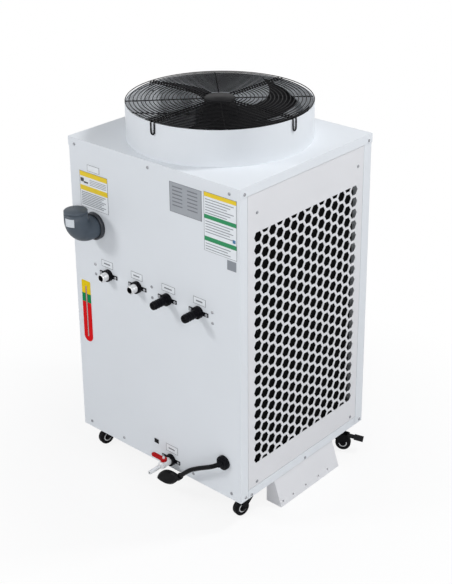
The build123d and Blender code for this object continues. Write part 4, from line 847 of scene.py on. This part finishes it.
# The floor is a pale surface that takes the shadow, mixed with plain white. The white's
# share grows from the object outwards, and there is none inside the hollow foot brackets.
FLOOR_REACH = 4
FLOOR_NEAR, FLOOR_FAR = 0.5, 1.15
NEAR_SHARE, FAR_SHARE = 0.86, 1.0
BRACKET_MIDDLE, BRACKET_HALF_WIDTH = 0.333, 0.028
BRACKET_HALF_LENGTH = 0.14
floor_material = bpy.data.materials.new("white floor")
floor_material.use_nodes = True
tree = floor_material.node_tree
floor_shader = tree.nodes["Principled BSDF"]
floor_shader.inputs["Base Color"].default_value = (0.86, 0.86, 0.87, 1)
floor_shader.inputs["Roughness"].default_value = 0.9
floor_white = tree.nodes.new("ShaderNodeEmission")
floor_white.inputs["Color"].default_value = (1, 1, 1, 1)
floor_place = tree.nodes.new("ShaderNodeTexCoord").outputs["Object"]
floor_reach = tree.nodes.new("ShaderNodeVectorMath")
floor_reach.operation = "LENGTH"
floor_fade = tree.nodes.new("ShaderNodeMapRange")
floor_fade.inputs["From Min"].default_value = FLOOR_NEAR
floor_fade.inputs["From Max"].default_value = FLOOR_FAR
floor_fade.inputs["To Min"].default_value = NEAR_SHARE
floor_fade.inputs["To Max"].default_value = FAR_SHARE
floor_axes = tree.nodes.new("ShaderNodeSeparateXYZ")
tree.links.new(floor_place, floor_reach.inputs[0])
tree.links.new(floor_reach.outputs["Value"], floor_fade.inputs["Value"])
tree.links.new(floor_place, floor_axes.inputs["Vector"])
side_of_middle = arithmetic(tree, "ABSOLUTE", floor_axes.outputs["X"])
in_width = arithmetic(tree, "COMPARE", side_of_middle, BRACKET_MIDDLE, BRACKET_HALF_WIDTH)
in_length = arithmetic(tree, "COMPARE", floor_axes.outputs["Y"], FAN_Y, BRACKET_HALF_LENGTH)
in_bracket = arithmetic(tree, "MULTIPLY", in_width, in_length)
open_floor = arithmetic(tree, "SUBTRACT", 1, in_bracket)
white_open = arithmetic(tree, "MULTIPLY", seen_directly(tree), open_floor)
white_share = arithmetic(tree, "MULTIPLY", white_open, floor_fade.outputs["Result"])
floor_mix = tree.nodes.new("ShaderNodeMixShader")
tree.links.new(white_share, floor_mix.inputs["Fac"])
tree.links.new(floor_shader.outputs["BSDF"], floor_mix.inputs[1])
tree.links.new(floor_white.outputs["Emission"], floor_mix.inputs[2])
tree.links.new(floor_mix.outputs["Shader"], tree.nodes["Material Output"].inputs["Surface"])
floor_mesh = bpy.data.meshes.new("floor")
floor_corners = [(-1, -1), (1, -1), (1, 1), (-1, 1)]
floor_points = [(FLOOR_REACH * x, FLOOR_REACH * y, 0) for x, y in floor_corners]
floor_mesh.from_pydata(floor_points, [], [(0, 1, 2, 3)])
floor_mesh.materials.append(floor_material)
floor = bpy.data.objects.new("floor", floor_mesh)
bpy.context.scene.collection.objects.link(floor)

# The surroundings light the object softly, and show white where they are seen.
world = bpy.data.worlds.new("studio")
bpy.context.scene.world = world
world.use_nodes = True
tree = world.node_tree
soft = tree.nodes["Background"]
soft.inputs["Color"].default_value = (0.93, 0.96, 1, 1)
soft.inputs["Strength"].default_value = 0.34
white = tree.nodes.new("ShaderNodeBackground")
white.inputs["Color"].default_value = (1, 1, 1, 1)
white.inputs["Strength"].default_value = 1
mix = tree.nodes.new("ShaderNodeMixShader")
tree.links.new(seen_directly(tree), mix.inputs["Fac"])
tree.links.new(soft.outputs["Background"], mix.inputs[1])
tree.links.new(white.outputs["Background"], mix.inputs[2])
tree.links.new(mix.outputs["Shader"], tree.nodes["World Output"].inputs["Surface"])


def soft_lamp(name, place, target, size, power):
    """A square soft box aimed at a point."""
    lamp = bpy.data.lights.new(name, "AREA")
    lamp.size = size
    lamp.energy = power
    holder = bpy.data.objects.new(name, lamp)
    holder.location = place
    holder.rotation_euler = (Vector(target) - Vector(place)).to_track_quat("-Z", "Y").to_euler()
    bpy.context.scene.collection.objects.link(holder)


soft_lamp("key", (-2.2, -3.2, 3.2), (0, -0.2, 0.6), 0.9, 62)
soft_lamp("side", (3.0, -0.6, 2.9), (0.3, 0, 1.0), 1.2, 17)
soft_lamp("front", (2.3, -2.7, 2.0), (0, 0, 1.1), 0.8, 30)
soft_lamp("top", (1.5, 1.5, 3.2), (0, 0, 1.1), 0.45, 47)
